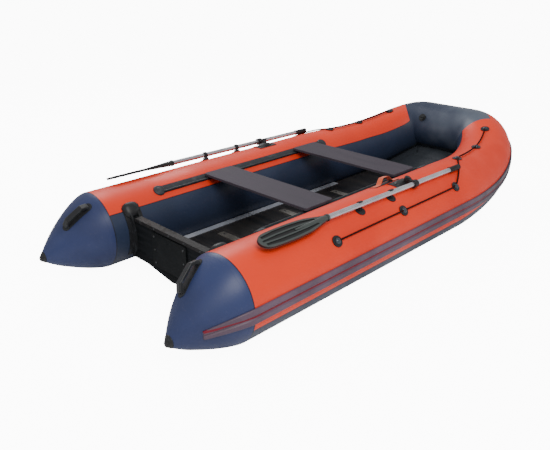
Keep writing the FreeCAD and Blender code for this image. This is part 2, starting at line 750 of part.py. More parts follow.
# Aluminium joiners of I section across the panels, and stringers of U section on their edges.
JOINER_LOW = f"({FLOOR_UNDER} - sizes.glue_gap - sizes.joiner_wall)"
joiner_bars = []
for index, joint in enumerate(joints, start=1):
    web = block(f"joiner_web_{index}", "sizes.joiner_wall", "2 * sizes.joiner_half_length",
                f"sizes.floor_top + sizes.glue_gap - {JOINER_LOW}", f"{joint} - sizes.joiner_wall / 2",
                "-sizes.joiner_half_length", JOINER_LOW)
    flanges = []
    for flange_name, height in (("low", JOINER_LOW), ("high", "sizes.floor_top + sizes.glue_gap")):
        flanges.append(block(f"joiner_{flange_name}_{index}", "sizes.joiner_width",
                             "2 * sizes.joiner_half_length", "sizes.joiner_wall",
                             f"{joint} - sizes.joiner_width / 2", "-sizes.joiner_half_length", height))
    joiner_bars.append(joined(f"joiner_{index}", web, *flanges))
node(group("floor_joiners", *joiner_bars), "floor_joiners")

STRINGER_SPLIT_SHARE = 0.394
STRINGER_END_SHARE = 0.808
STRINGER_INNER = "(sizes.floor_half_width + sizes.glue_gap - sizes.stringer_grip)"
stringer_starts = (transom_front + size("stringer_start_gap"),
                   transom_front + floor_length * STRINGER_SPLIT_SHARE + size("stringer_split_gap"))
stringer_ends = (transom_front + floor_length * STRINGER_SPLIT_SHARE,
                 transom_front + floor_length * STRINGER_END_SHARE)
stringer_bars = []
for index, (start, end) in enumerate(zip(stringer_starts, stringer_ends), start=1):
    full = block(f"stringer_full_{index}", f"{end} - {start}", "sizes.stringer_grip + sizes.stringer_wall",
                 "sizes.floor_panel_thickness + 2 * (sizes.glue_gap + sizes.stringer_wall)", f"{start}",
                 STRINGER_INNER, f"{FLOOR_UNDER} - sizes.glue_gap - sizes.stringer_wall")
    groove = block(f"stringer_groove_{index}", f"{end} - {start}", "sizes.stringer_grip",
                   "sizes.floor_panel_thickness + 2 * sizes.glue_gap", f"{start}",
                   STRINGER_INNER, f"{FLOOR_UNDER} - sizes.glue_gap")
    stringer_bars.append(trimmed(f"stringer_{index}", full, groove))
pair("floor_stringer", group("floor_stringer_port", *stringer_bars))

# Bottom: the cloth stretched between the tubes, filled by the inflated keel under the floor.
# No plain feature follows two tubes that bend and climb, so its sections lie on their skins.
AFT_SHARES = (0.0, 0.5)
BOTTOM_SPAN_COUNT = 12
bottom_start = transom_front + glue
keel_rise_power = size("bow_rise_power") + 1


def bottom_wire(x):
    low = skin_point(x, bottom_seam(x), seam_gap)
    top = max(bottom_top, low.z + skin)
    high_angle = skin_angle(x, top, seam_gap)
    middle = skin_point(x, (bottom_seam(x) + high_angle) / 2, seam_gap)
    high = skin_point(x, high_angle, seam_gap)
    reach = max(x - rise_start, 0) / (bottom_end - rise_start)
    keel = size("keel_height") + (bottom_end_z - size("keel_height")) * reach ** keel_rise_power
    keel_top = max(bottom_top, keel + skin)
    port_edge = [Vector(x, place.y, place.z) for place in (low, middle, high)]
    other_edge = [Vector(x, -place.y, place.z) for place in reversed(port_edge)]
    corners = [Vector(x, 0, keel)] + port_edge + [Vector(x, 0, keel_top)] + other_edge
    return Part.makePolygon(corners + [corners[0]])


bottom_places = [bottom_start + (rise_start - bottom_start) * share for share in AFT_SHARES]
for step in range(BOTTOM_SPAN_COUNT + 1):
    bottom_places.append(rise_start + (bottom_end - rise_start) * step / BOTTOM_SPAN_COUNT)
node(loft("bottom_skin", [section(f"bottom_section_{index}", bottom_wire(x))
                          for index, x in enumerate(bottom_places, start=1)], True), "bottom_skin")

# Bench tracks: a glued band with a bead on its lower edge and a round pad at each end.
TRACK_START = f"({STERN} + sizes.track_start_from_stern)"
TRACK_END = f"({BOW_START} - sizes.track_end_before_bow)"
TRACK_SWEEP = "(sizes.track_width / sizes.tube_radius * 180 / pi)"
BAND_OUT = "(sizes.glue_gap + sizes.track_band)"
band = layer("track_band", TRACK_START, TRACK_END, "sizes.glue_gap", BAND_OUT,
             f"sizes.track_angle - {TRACK_SWEEP} / 2", TRACK_SWEEP)
bead_stand = value(f"{BAND_OUT} + 2 * sizes.runner_gap + sizes.runner_wall + sizes.track_bead_radius")
bead_angle = size("track_bead_angle")
bead_r = size("track_bead_radius")
bead_frame = side_station(value(TRACK_START)).frame(bead_angle, bead_stand)
bead_centre = bead_frame.Base
bead_away = bead_frame.Rotation.multVec(UP)
lengthwise = Placement(Vector(), Rotation(UP, AHEAD))
bead = cylinder("track_bead", "sizes.track_bead_radius", f"{TRACK_END} - {TRACK_START}",
                Placement(bead_centre, lengthwise.Rotation))
web = doc.addObject("Part::Box", "track_web")
web.Placement = side_station(value(TRACK_START)).frame(bead_angle, glue).multiply(
    Placement(Vector(0, -size("track_web") / 2, 0), Rotation()))
bind(web, {"Length": f"{TRACK_END} - {TRACK_START}", "Width": "sizes.track_web", "Height": str(bead_stand)})
track_parts = [band, bead, web]
for index, place in enumerate((value(TRACK_START), value(TRACK_END)), start=1):
    drum = cylinder(f"track_drum_{index}", "sizes.track_end_radius", "sizes.tube_radius",
                    side_station(place).frame(size("track_angle"), -tube_r / 2))
    shell = along_tube(f"track_shell_{index}", f"sizes.tube_radius + {BAND_OUT}",
                       f"({TRACK_START} - sizes.tube_radius)", f"({TRACK_END} + sizes.tube_radius)")
    track_parts.append(shared_part(f"track_end_{index}", drum, shell))
track = joined("track_whole", *track_parts)
pair("bench_track", trimmed("bench_track_port", track, side_room, bend_room))

# Benches: plywood boards on plastic runners that slide along the beads.
BENCH_UNDER = "(sizes.bench_top - sizes.bench_thickness)"
AFT_BENCH_SHARE = 0.4534
FORE_BENCH_SHARE = 0.9
bench_under = value(BENCH_UNDER)
hole_r = bead_r + size("runner_gap")


def runner(name, middle):
    """One runner: a sleeve slit for the track's web, with a flange under the bench."""
    runner_length = "(sizes.bench_width - 2 * sizes.runner_end_inset)"
    start = middle - value(runner_length) / 2
    place = Placement(Vector(start, bead_centre.y, bead_centre.z), lengthwise.Rotation)
    sleeve = cylinder(name + "_sleeve", "sizes.track_bead_radius + sizes.runner_gap + sizes.runner_wall",
                      runner_length, place)
    flange = block(name + "_flange", runner_length, "sizes.runner_flange",
                   f"{BENCH_UNDER} - sizes.glue_gap - {bead_centre.z + hole_r}", f"{start}",
                   f"{bead_centre.y} - sizes.runner_flange / 2", f"{bead_centre.z + hole_r}")
    hole = cylinder(name + "_hole", "sizes.track_bead_radius + sizes.runner_gap", runner_length, place)
    slot = doc.addObject("Part::Box", name + "_slot")
    bind(slot, {"Length": runner_length, "Width": "sizes.track_web + 2 * sizes.runner_gap",
                "Height": "2 * (sizes.track_bead_radius + sizes.runner_gap + sizes.runner_wall)"})
    slot_low = -2 * (hole_r + size("runner_wall"))
    slot.Placement = Placement(place.Base, bead_frame.Rotation).multiply(
        Placement(Vector(0, -size("track_web") / 2 - size("runner_gap"), slot_low), Rotation()))
    return trimmed(name, joined(name + "_whole", sleeve, flange), joined(name + "_room", hole, slot))


for name, share in (("aft", AFT_BENCH_SHARE), ("fore", FORE_BENCH_SHARE)):
    middle = seam_x + (bow_start - seam_x) * share
    bench = doc.addObject("PartDesign::Body", f"{name}_bench_board")
    bench_sketch = outline(bench, "XY_Plane", (
        ("-sizes.bench_width / 2", "-sizes.bench_half_length"), ("sizes.bench_width / 2", "-sizes.bench_half_length"),
        ("sizes.bench_width / 2", "sizes.bench_half_length"), ("-sizes.bench_width / 2", "sizes.bench_half_length")))
    bench_pad = padded(bench, bench_sketch, "sizes.bench_thickness")
    corner_fillet = rounded(bench, bench_pad, "sizes.bench_corner", runs_along(UP))
    top_z = size("bench_thickness") - glue
    doc.recompute()
    top_edges = [f"Edge{index}" for index, edge in enumerate(corner_fillet.Shape.Edges, start=1)
                 if min(vertex.Z for vertex in edge.Vertexes) > top_z]
    bevel = bench.newObject("PartDesign::Chamfer", bench.Name + "_bevel")
    bevel.Base = (corner_fillet, top_edges)
    bevel.setExpression("Size", "sizes.bench_bevel")
    bench.Placement = Placement(Vector(middle, 0, bench_under), Rotation())
    bench.setExpression("Placement.Base.z", BENCH_UNDER)
    node(bench, f"{name}_bench_board")
    port_runner = runner(f"{name}_runner_port", middle)
    starboard_runner = mirrored(f"{name}_runner_starboard", port_runner)
    node(group(f"{name}_bench_runners", port_runner, starboard_runner), f"{name}_bench_runners")

# Oars, stowed along the tubes. The pin's frame stands square on the tube, and the oar's own
# frame is turned a little in it: X along the shaft to the grip, Z away from the tube.
oar_angle = size("oar_angle")
lock_x = stern + size("oarlock_from_stern")
pin_frame = side_station(lock_x).frame(oar_angle, size("oar_stand"))
oar_turn = Rotation(UP, size("oar_yaw")).multiply(Rotation(PORT, size("oar_pitch")))
oar_frame = pin_frame.multiply(Placement(Vector(), oar_turn))
shaft_r = size("oar_shaft_radius")
blade_tip = -size("oar_blade_reach")
blade_neck = blade_tip + size("oar_blade_length")
grip_start = size("oar_grip_reach") - size("oar_grip_length")


def on_oar(x, across=0.0, away=0.0, way=AHEAD):
    return oar_frame.multiply(Placement(Vector(x, across, away), Rotation(UP, way)))


def on_pin(x, across=0.0, away=0.0, way=UP):
    return pin_frame.multiply(Placement(Vector(x, across, away), Rotation(UP, way)))


SHAFT_LENGTH = ("(sizes.oar_blade_reach - sizes.oar_blade_length + sizes.oar_neck_length"
                " + sizes.oar_grip_reach - sizes.oar_grip_length / 2)")
shaft_start = blade_neck - size("oar_neck_length")
shaft = cylinder("shaft_full", "sizes.oar_shaft_radius", SHAFT_LENGTH, on_oar(shaft_start))
shaft_bore = cylinder("shaft_bore", "sizes.oar_shaft_radius - sizes.oar_shaft_wall", SHAFT_LENGTH,
                      on_oar(shaft_start))
pair("oar_shaft", trimmed("oar_shaft_port", shaft, shaft_bore))

# Rubber grip: a turned sleeve with a flared end and a closed, rounded butt.
grip_body = doc.addObject("PartDesign::Body", "oar_grip_port")
GRIP_R = "sizes.oar_grip_radius"
FLARE_R = "(sizes.oar_grip_radius + sizes.oar_grip_flare)"
HOLE_R = "(sizes.oar_shaft_radius + sizes.glue_gap)"
HOLE_END = "(sizes.oar_grip_length / 2 + sizes.glue_gap)"
BUTT_ROUNDING = "sizes.oar_grip_radius / 2"
grip_sketch = outline(grip_body, "XZ_Plane", (
    ("0", HOLE_R), ("0", FLARE_R), ("2 * sizes.oar_grip_flare", FLARE_R), ("4 * sizes.oar_grip_flare", GRIP_R),
    (f"sizes.oar_grip_length - {BUTT_ROUNDING}", GRIP_R),
    ("sizes.oar_grip_length", BUTT_ROUNDING), ("sizes.oar_grip_length", "0"), (HOLE_END, "0"), (HOLE_END, HOLE_R)))
turned = grip_body.newObject("PartDesign::Revolution", "oar_grip_turned")
turned.Profile = grip_sketch
turned.ReferenceAxis = ([feature for feature in grip_body.Origin.OriginFeatures if feature.Role == "X_Axis"][0], [""])
turned.Angle = 360
grip_body.Placement = oar_frame.multiply(Placement(Vector(grip_start, 0, 0), Rotation()))
pair("oar_grip", grip_body)

# Moulded blade: a rim, a thin web and ribs between long hollows, on a tapering neck with a
# stop ring. The outline is one smooth curve on each side, from the tip to the neck.
BLADE_SHARES = ((0.0, 0.0), (0.012, 0.42), (0.06, 0.78), (0.16, 0.95), (0.34, 1.0), (0.55, 0.97),
                (0.74, 0.78), (0.88, 0.48), (1.0, 0.3))
HOLLOW_SHARES = ((0.06, 0.82, -1), (0.045, 0.86, 0), (0.06, 0.82, 1))
blade_length = size("oar_blade_length")
blade_half = size("oar_blade_width") / 2


def blade_half_width(share):
    """The blade's half width at a share of its length, read from its outline's points."""
    for (low, narrow), (high, wide) in zip(BLADE_SHARES, BLADE_SHARES[1:]):
        if low <= share <= high:
            return blade_half * (narrow + (wide - narrow) * (share - low) / (high - low))
    return blade_half


def flat_sketch(name):
    made = doc.addObject("Sketcher::SketchObject", name)
    made.Placement = oar_frame.multiply(Placement(Vector(blade_tip, 0, 0), Rotation()))
    return made


def extruded(name, sketch, length):
    made = doc.addObject("Part::Extrusion", name)
    made.Base = sketch
    made.DirMode = "Normal"
    made.Solid = True
    made.Symmetric = True
    made.setExpression("LengthFwd", length)
    return made


blade_sketch = flat_sketch("blade_outline")
for way in (-1, 1):
    curve = Part.BSplineCurve()
    curve.interpolate([Vector(blade_length * along, blade_half * across * way, 0)
                       for along, across in BLADE_SHARES])
    blade_sketch.addGeometry(curve, False)
neck_half = blade_half * BLADE_SHARES[-1][1]
blade_sketch.addGeometry(Part.LineSegment(Vector(blade_length, -neck_half, 0), Vector(blade_length, neck_half, 0)), False)
blade_plate = extruded("blade_plate", blade_sketch, "sizes.oar_blade_thickness")

rim = size("oar_blade_rim")
rib = size("oar_blade_rib")
HOLLOW_POINT_SHARES = (0.0, 0.25, 0.5, 0.75, 1.0)
hollow_sketch = flat_sketch("blade_hollows")
for start_share, end_share, lane in HOLLOW_SHARES:
    sides = ([], [])
    for point_share in HOLLOW_POINT_SHARES:
        share = start_share + (end_share - start_share) * point_share
        inner_half = max(blade_half_width(share) - rim, rib)
        lane_width = (2 * inner_half - 2 * rib) / 3
        middle = lane * (lane_width + rib)
        for side, way in zip(sides, (-1, 1)):
            side.append(Vector(blade_length * share, middle + way * lane_width / 2, 0))
    corners = sides[0] + sides[1][::-1]
    for here, there in zip(corners, corners[1:] + corners[:1]):
        hollow_sketch.addGeometry(Part.LineSegment(here, there), False)
hollows = extruded("blade_hollow_prisms", hollow_sketch, "2 * sizes.oar_blade_thickness")
blade_web = doc.addObject("Part::Box", "blade_web")
bind(blade_web, {"Length": "sizes.oar_blade_length", "Width": "sizes.oar_blade_width",
                 "Height": "sizes.oar_blade_web"})
blade_web.Placement = oar_frame.multiply(
    Placement(Vector(blade_tip, -blade_half, -size("oar_blade_web") / 2), Rotation()))
hollow_cutter = trimmed("blade_hollow_cutter", hollows, blade_web)

NECK_TAPER = "(2 * sizes.oar_blade_width)"
taper = doc.addObject("Part::Cone", "blade_taper")
bind(taper, {"Radius1": "sizes.oar_blade_thickness / 2", "Radius2": "sizes.oar_shaft_radius + sizes.oar_shaft_wall",
             "Height": NECK_TAPER})
taper.Placement = on_oar(shaft_start - value(NECK_TAPER))
socket = cylinder("blade_socket", "sizes.oar_shaft_radius + sizes.oar_shaft_wall", "sizes.oar_neck_length",
                  on_oar(shaft_start))
stop_ring = cylinder("blade_stop_ring", "sizes.oar_neck_radius", "sizes.oar_neck_length / 3",
                     on_oar(blade_neck - size("oar_neck_length") / 3))
socket_bore = cylinder("blade_socket_bore", HOLE_R, "sizes.oar_neck_length", on_oar(shaft_start))
blade_whole = joined("blade_whole", trimmed("blade_ribbed", blade_plate, hollow_cutter), taper, socket, stop_ring)
pair("oar_blade", trimmed("oar_blade_port", blade_whole, socket_bore))

# Oarlock: a glued pad with a domed body and a headed pin, inboard of the stowed shaft.
pin_across = -size("oarlock_pin_offset")
hub_low = -size("collar_hub_height") / 2
lock_boss_low = -tube_r / 2
PAD_MIDDLE = f"({STERN} + sizes.oarlock_from_stern - sizes.oarlock_pad_setback)"
PAD_SWEEP = "(sizes.oarlock_pad_width / sizes.tube_radius * 180 / pi)"
lock_pad = layer("oarlock_pad", f"({PAD_MIDDLE} - sizes.oarlock_pad_length / 2)",
                 f"({PAD_MIDDLE} + sizes.oarlock_pad_length / 2)", "sizes.glue_gap",
                 "sizes.glue_gap + sizes.oarlock_pad_thickness",
                 f"sizes.oarlock_pad_angle - {PAD_SWEEP} / 2", PAD_SWEEP)
dome = doc.addObject("Part::Ellipsoid", "oarlock_dome")
dome.Placement = side_station(value(PAD_MIDDLE)).frame(size("oarlock_pad_angle"))
bind(dome, {"Radius2": "sizes.oarlock_dome_length / 2", "Radius3": "sizes.oarlock_dome_width / 2",
            "Radius1": "sizes.oarlock_dome_height"})
boss = cylinder("oarlock_boss", "sizes.oarlock_boss_radius",
                f"sizes.tube_radius / 2 - sizes.collar_hub_height / 2 - sizes.collar_end_gap",
                on_pin(0, pin_across, lock_boss_low))
pin = cylinder("oarlock_pin", "sizes.oarlock_pin_radius",
               "sizes.tube_radius / 2 + sizes.collar_hub_height / 2 + 2 * sizes.collar_end_gap",
               on_pin(0, pin_across, lock_boss_low))
pin_head = cylinder("oarlock_pin_head", "2 * sizes.oarlock_pin_radius", "sizes.oarlock_pin_radius / 2",
                    on_pin(0, pin_across, size("collar_hub_height") / 2 + size("collar_end_gap")))
lock_whole = joined("oarlock_whole", lock_pad, dome, boss, pin, pin_head)
pair("oarlock_base", trimmed("oarlock_base_port", lock_whole, side_room))

# Collar: a thick ring on the shaft with an arm to a hub that turns on the pin.
ring_half = size("collar_ring_length") / 2
collar_ring = cylinder("collar_ring", "sizes.collar_ring_radius", "sizes.collar_ring_length", on_oar(-ring_half))
hub = cylinder("collar_hub", "sizes.collar_hub_radius", "sizes.collar_hub_height", on_pin(0, pin_across, hub_low))
arm = doc.addObject("Part::Box", "collar_arm")
bind(arm, {"Length": "sizes.collar_arm_width", "Width": "sizes.oarlock_pin_offset",
           "Height": "sizes.collar_hub_height"})
arm.Placement = on_pin(-size("collar_arm_width") / 2, pin_across, hub_low)
shaft_hole = cylinder("collar_shaft_hole", HOLE_R, "2 * sizes.collar_ring_length",
                      on_oar(-size("collar_ring_length")))
pin_hole = cylinder("collar_pin_hole", "sizes.oarlock_pin_radius + sizes.oarlock_pin_gap",
                    "2 * sizes.collar_hub_height", on_pin(0, pin_across, 2 * hub_low))
collar = trimmed("oar_collar_port", joined("collar_whole", collar_ring, hub, arm), shaft_hole, pin_hole)
pair("oar_collar", collar)

# Oar clips: hooks under and behind the stowed shaft, open to the outer side, on round pads.
CLIP_IN = "(sizes.oar_shaft_radius + sizes.clip_gap)"
CLIP_OUT = f"({CLIP_IN} + sizes.clip_wall)"
clip_in = value(CLIP_IN)
clip_out = value(CLIP_OUT)
clips = []
for name in ("aft", "fore"):
    x = size(f"clip_{name}_from_stern") - size("oarlock_from_stern")
    start = x - size("clip_width") / 2
    hook = cylinder(f"clip_hook_{name}", CLIP_OUT, "sizes.clip_width", on_oar(start))
    post = doc.addObject("Part::Box", f"clip_post_{name}")
    bind(post, {"Length": "sizes.clip_width", "Width": f"2 * {CLIP_IN}", "Height": "2 * sizes.oar_stand"})
    post.Placement = oar_frame.multiply(Placement(Vector(start, -clip_in, -2 * size("oar_stand")), Rotation()))
    hook_hole = cylinder(f"clip_hole_{name}", CLIP_IN, "sizes.clip_width", on_oar(start))
    mouth = doc.addObject("Part::Box", f"clip_mouth_{name}")
    bind(mouth, {"Length": "sizes.clip_width", "Width": f"2 * {CLIP_OUT}", "Height": f"{CLIP_IN} + 2 * {CLIP_OUT}"})
    mouth.Placement = oar_frame.multiply(Placement(Vector(start, 0, -clip_in), Rotation()))
    pad_turn = math.degrees(size("clip_pad_shift") / tube_r)
    drum_place = side_station(lock_x + x).frame(oar_angle - pad_turn, -tube_r / 2)
    drum = cylinder(f"clip_drum_{name}", "sizes.clip_pad_radius", "sizes.tube_radius", drum_place)
    CLIP_X = f"({STERN} + sizes.clip_{name}_from_stern)"
    shell = along_tube(f"clip_shell_{name}", "sizes.tube_radius + sizes.glue_gap + sizes.clip_pad_thickness",
                       f"({CLIP_X} - sizes.clip_pad_radius)", f"({CLIP_X} + sizes.clip_pad_radius)")
    clip_pad = shared_part(f"clip_pad_{name}", drum, shell)
    clip_whole = joined(f"clip_whole_{name}", trimmed(f"clip_open_{name}", joined(f"clip_solid_{name}", hook, post),
                                                      joined(f"clip_room_{name}", hook_hole, mouth)), clip_pad)
    clips.append(trimmed(f"clip_{name}", clip_whole, side_room))
pair("oar_clips", group("oar_clips_port", *clips))

# Lifeline: a cord drawn tight through round cleats, straight along the side and then over the
# tube to the bow's top.
SECOND_CLEAT_SHARE = 0.5066
third_cleat_x = bow_start - size("third_cleat_before_bow")
first_cleat_x = seam_x + size("first_cleat_after_seam")
second_cleat_x = first_cleat_x + (third_cleat_x - first_cleat_x) * SECOND_CLEAT_SHARE
BOW_CLEAT_SHARES = (0.233, 0.476, 0.729)
CLEAT_ROOM_SHARE = 0.045
cleat_places = []
for x in (first_cleat_x, second_cleat_x, third_cleat_x):
    cleat_places.append((side_station(x), size("cleat_angle"), side_room))
bow_cleat_angles = (size("bow_cleat_angle"), size("bow_cleat_angle"), size("last_cleat_angle"))
for index, (share, angle) in enumerate(zip(BOW_CLEAT_SHARES, bow_cleat_angles), start=1):
    room_shares = (share - CLEAT_ROOM_SHARE, share, share + CLEAT_ROOM_SHARE)
    room = ring_loft(f"cleat_room_{index}", [bow_station(near) for near in room_shares], glue)
    cleat_places.append((bow_station(share), angle, room))
ARC_REACH_SHARE = 0.45


def rounded_route(points):
    """Straight runs joined by arcs that touch both of their runs."""
    edges = []
    at = points[0]
    for before, corner, after in zip(points, points[1:], points[2:]):
        back = before - corner
        ahead = after - corner
        trim = ARC_REACH_SHARE * min(back.Length, ahead.Length)
        back.normalize()
        ahead.normalize()
        half_turn = (math.pi - back.getAngle(ahead)) / 2
        radius = trim / math.tan(half_turn)
        middle = (back + ahead).normalize() * (radius / math.cos(half_turn) - radius)
        entry = corner + back * trim
        leave = corner + ahead * trim
        edges.append(Part.LineSegment(at, entry).toShape())
        edges.append(Part.Arc(entry, corner + middle, leave).toShape())
        at = leave
    edges.append(Part.LineSegment(at, points[-1]).toShape())
    return Part.Wire(edges)


def swept(name, route, radius):
    """A round cord of one radius along a route."""
    first = route.Shape.Edges[0]
    circle = doc.addObject("Part::Circle", name + "_ring")
    circle.Placement = Placement(first.valueAt(first.FirstParameter),
                                 Rotation(UP, first.tangentAt(first.FirstParameter)))
    circle.setExpression("Radius", radius)
    made = doc.addObject("Part::Sweep", name)
    made.Sections = [circle]
    made.Spine = (route, [f"Edge{index}" for index in range(1, len(route.Shape.Edges) + 1)])
    made.Solid = True
    made.Frenet = False
    return made


WRAP_SHARES = (0.33, 0.67, 1.0)
line_stand = size("lifeline_stand")
first_place, first_angle, _ = cleat_places[0]
third_place, third_angle, _ = cleat_places[2]
line_points = [first_place.point(first_angle, line_stand), third_place.point(third_angle, line_stand)]
for (here, here_angle, _), (there, there_angle, _) in zip(cleat_places[2:], cleat_places[3:]):
    for share in WRAP_SHARES:
        station = station_at(here.centre.x + (there.centre.x - here.centre.x) * share)
        line_points.append(station.point(here_angle + (there_angle - here_angle) * share, line_stand))
line_route = section("lifeline_route", rounded_route(line_points))
pair("lifeline", swept("lifeline_port", line_route, "sizes.lifeline_radius"))
line_room = swept("lifeline_room", line_route, "sizes.lifeline_radius + sizes.glue_gap")

# Each cleat is a flat disc with a rounded groove round its domed middle, holed for the cord.
cleats = []
for index, (place, angle, room) in enumerate(cleat_places, start=1):
    disc = cylinder(f"cleat_disc_{index}", "sizes.cleat_radius", "sizes.cleat_radius + sizes.cleat_height",
                    place.frame(angle, -size("cleat_radius")))
    dome = doc.addObject("Part::Ellipsoid", f"cleat_dome_{index}")
    dome.Placement = place.frame(angle)
    bind(dome, {"Radius2": "sizes.cleat_dome_radius", "Radius3": "sizes.cleat_dome_radius",
                "Radius1": "sizes.cleat_dome_height"})
    cleat_whole = joined(f"cleat_whole_{index}", disc, dome)
    cleats.append(trimmed(f"cleat_{index}", cleat_whole, room, line_room))
pair("lifeline_cleats", group("lifeline_cleats_port", *cleats))

# Inflation valve on the bow's inner face: a flange, a domed cap and the key across it.
valve_place = front_station(size("valve_offset"))
valve_frame = valve_place.frame(size("valve_angle"))
valve_low = -size("valve_radius") / 2
flange = cylinder("valve_flange", "sizes.valve_radius", "sizes.valve_radius / 2 + sizes.valve_height",
                  valve_frame.multiply(Placement(Vector(0, 0, valve_low), Rotation())))
valve_cap = cylinder("valve_cap", "sizes.valve_cap_radius", "sizes.valve_cap_height", valve_frame)
key = doc.addObject("Part::Box", "valve_key")
bind(key, {"Length": "1.6 * sizes.valve_cap_radius", "Width": "sizes.valve_key_width",
           "Height": "sizes.valve_cap_height + sizes.valve_key_height"})
key.Placement = valve_frame.multiply(
    Placement(Vector(-0.8 * size("valve_cap_radius"), -size("valve_key_width") / 2, 0), Rotation()))
valve_whole = joined("valve_whole", flange, valve_cap, key)
node(trimmed("bow_valve", valve_whole, front_room), "bow_valve")

# Carrying strap on the starboard tube's inner upper side: webbing that rises in a bow over a
# glued patch. It is drawn on the port side and mirrored.
STRAP_SPAN_COUNT = 18
STRAP_FLAT_SHARE = 0.6
strap_half = size("strap_length") / 2
strap_frame = side_station(stern + size("strap_from_stern")).frame(size("strap_angle"), size("strap_patch"))
strap_w = size("strap_width")
strap_t = size("strap_thickness")


def strap_place(share):
    """A point of the webbing's middle: flat on the patch at its ends, bowed up between them."""
    bow_share = abs(share) / STRAP_FLAT_SHARE
    lift = size("strap_rise") * (1 + math.cos(math.pi * bow_share)) / 2 if bow_share < 1 else 0
    return Vector(strap_half * share, 0, lift)


def strap_section(step):
    share = 2 * step / STRAP_SPAN_COUNT - 1
    step_share = 1 / STRAP_SPAN_COUNT
    here = strap_place(share)
    along = (strap_place(share + step_share) - strap_place(share - step_share)).normalize()
    lift = along.cross(PORT) * (-strap_t / 2)
    half = PORT * (strap_w / 2)
    corners = [here - half - lift, here + half - lift, here + half + lift, here - half + lift]
    corners = [strap_frame.multVec(corner) for corner in corners]
    return Part.makePolygon(corners + [corners[0]])


strap_band = loft("strap_band", [section(f"strap_section_{step}", strap_section(step))
                                 for step in range(STRAP_SPAN_COUNT + 1)], True)
STRAP_MIDDLE = f"({STERN} + sizes.strap_from_stern)"
PATCH_SWEEP = "(sizes.strap_patch_width / sizes.tube_radius * 180 / pi)"
strap_patch = layer("strap_patch", f"({STRAP_MIDDLE} - sizes.strap_length / 2)",
                    f"({STRAP_MIDDLE} + sizes.strap_length / 2)", "sizes.glue_gap",
                    "sizes.glue_gap + sizes.strap_patch", f"sizes.strap_angle - {PATCH_SWEEP} / 2", PATCH_SWEEP)
strap_whole = trimmed("strap_whole", joined("strap_joined", strap_band, strap_patch), side_room)
node(mirrored("strap_handle", strap_whole), "strap_handle")

# Every piece is tested before anything is written.
doc.recompute()
for made in doc.Objects:
    if "Invalid" in made.State or "Error" in made.State:
        raise RuntimeError(made.Name + " failed")
for made in nodes:
    if made.Shape.isNull() or not made.Shape.isValid() or not made.Shape.Solids:
        raise RuntimeError(made.Label + " has no valid shape")

os.makedirs("parts", exist_ok=True)
for made in nodes:
    solids = made.Shape.Solids
    whole = solids[0] if len(solids) == 1 else Part.makeCompound(solids)
    whole.exportStep(os.path.join("parts", made.Label + ".step"))
    box = whole.optimalBoundingBox()
    print(made.Label, len(solids), round(whole.Volume / 1000), "cm3",
          [round(edge) for edge in (box.XMin, box.XMax, box.YMin, box.YMax, box.ZMin, box.ZMax)])
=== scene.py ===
import math

import bmesh
import bpy
from mathutils import Matrix, Vector
from mathutils.bvhtree import BVHTree


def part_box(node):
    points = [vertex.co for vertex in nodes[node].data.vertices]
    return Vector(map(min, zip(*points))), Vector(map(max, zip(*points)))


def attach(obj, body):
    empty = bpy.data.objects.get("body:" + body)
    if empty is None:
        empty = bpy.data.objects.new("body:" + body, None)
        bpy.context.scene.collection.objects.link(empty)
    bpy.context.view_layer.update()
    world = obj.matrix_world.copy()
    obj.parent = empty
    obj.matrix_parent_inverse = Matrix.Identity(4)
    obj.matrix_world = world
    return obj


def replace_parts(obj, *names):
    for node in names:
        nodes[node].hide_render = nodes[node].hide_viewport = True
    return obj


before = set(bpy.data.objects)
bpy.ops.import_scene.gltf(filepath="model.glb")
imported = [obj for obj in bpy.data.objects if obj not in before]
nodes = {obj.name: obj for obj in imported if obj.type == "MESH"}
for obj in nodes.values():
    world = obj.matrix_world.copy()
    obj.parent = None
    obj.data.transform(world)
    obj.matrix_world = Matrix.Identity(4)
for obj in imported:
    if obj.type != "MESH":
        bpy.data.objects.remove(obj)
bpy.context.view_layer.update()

# Studio: a plain white floor that runs out of sight under a bright plain sky, a large soft
# lamp above the camera's side, a faint one from astern and a third from the far side. The
# camera stands where the boat's own mirror symmetry puts the photograph's.
floor_half = 40.0
floor_colour = (0.93, 0.93, 0.94, 1)
floor_glow_colour = (1.0, 1.0, 1.0, 1)
floor_roughness = 0.8
floor_glow = 0.02
floor_seen = 10.5
sky_colour = (1.0, 1.0, 1.0, 1)
sky_light = 0.58
sky_seen = 10.5
camera_place = Vector((-2.73788, -2.30132, 1.52763))
camera_yaw = 45.019
camera_pitch = 23.106
camera_roll = 0.093
camera_lens = 39.917
camera_sensor = 36.0


def lit_and_seen(tree, strength, lit, seen):
    """One strength as a light on other things, and another where the camera looks at it."""
    rays = tree.nodes.new("ShaderNodeLightPath")
    amount = tree.nodes.new("ShaderNodeMapRange")
    amount.inputs["To Min"].default_value = lit
    amount.inputs["To Max"].default_value = seen
    tree.links.new(rays.outputs["Is Camera Ray"], amount.inputs["Value"])
    tree.links.new(amount.outputs["Result"], strength)


bpy.ops.mesh.primitive_plane_add(size=2 * floor_half)
floor = bpy.context.object
floor.name = "studio_floor"
floor_material = bpy.data.materials.new("studio_floor")
floor_material.use_nodes = True
floor_shader = floor_material.node_tree.nodes["Principled BSDF"]
floor_shader.inputs["Base Color"].default_value = floor_colour
floor_shader.inputs["Roughness"].default_value = floor_roughness
floor_shader.inputs["Emission Color"].default_value = floor_glow_colour
lit_and_seen(floor_material.node_tree, floor_shader.inputs["Emission Strength"],
             floor_glow, floor_seen)
floor.data.materials.append(floor_material)

world = bpy.data.worlds.new("studio_sky")
world.use_nodes = True
sky_shader = world.node_tree.nodes["Background"]
sky_shader.inputs["Color"].default_value = sky_colour
lit_and_seen(world.node_tree, sky_shader.inputs["Strength"], sky_light, sky_seen)
bpy.context.scene.world = world

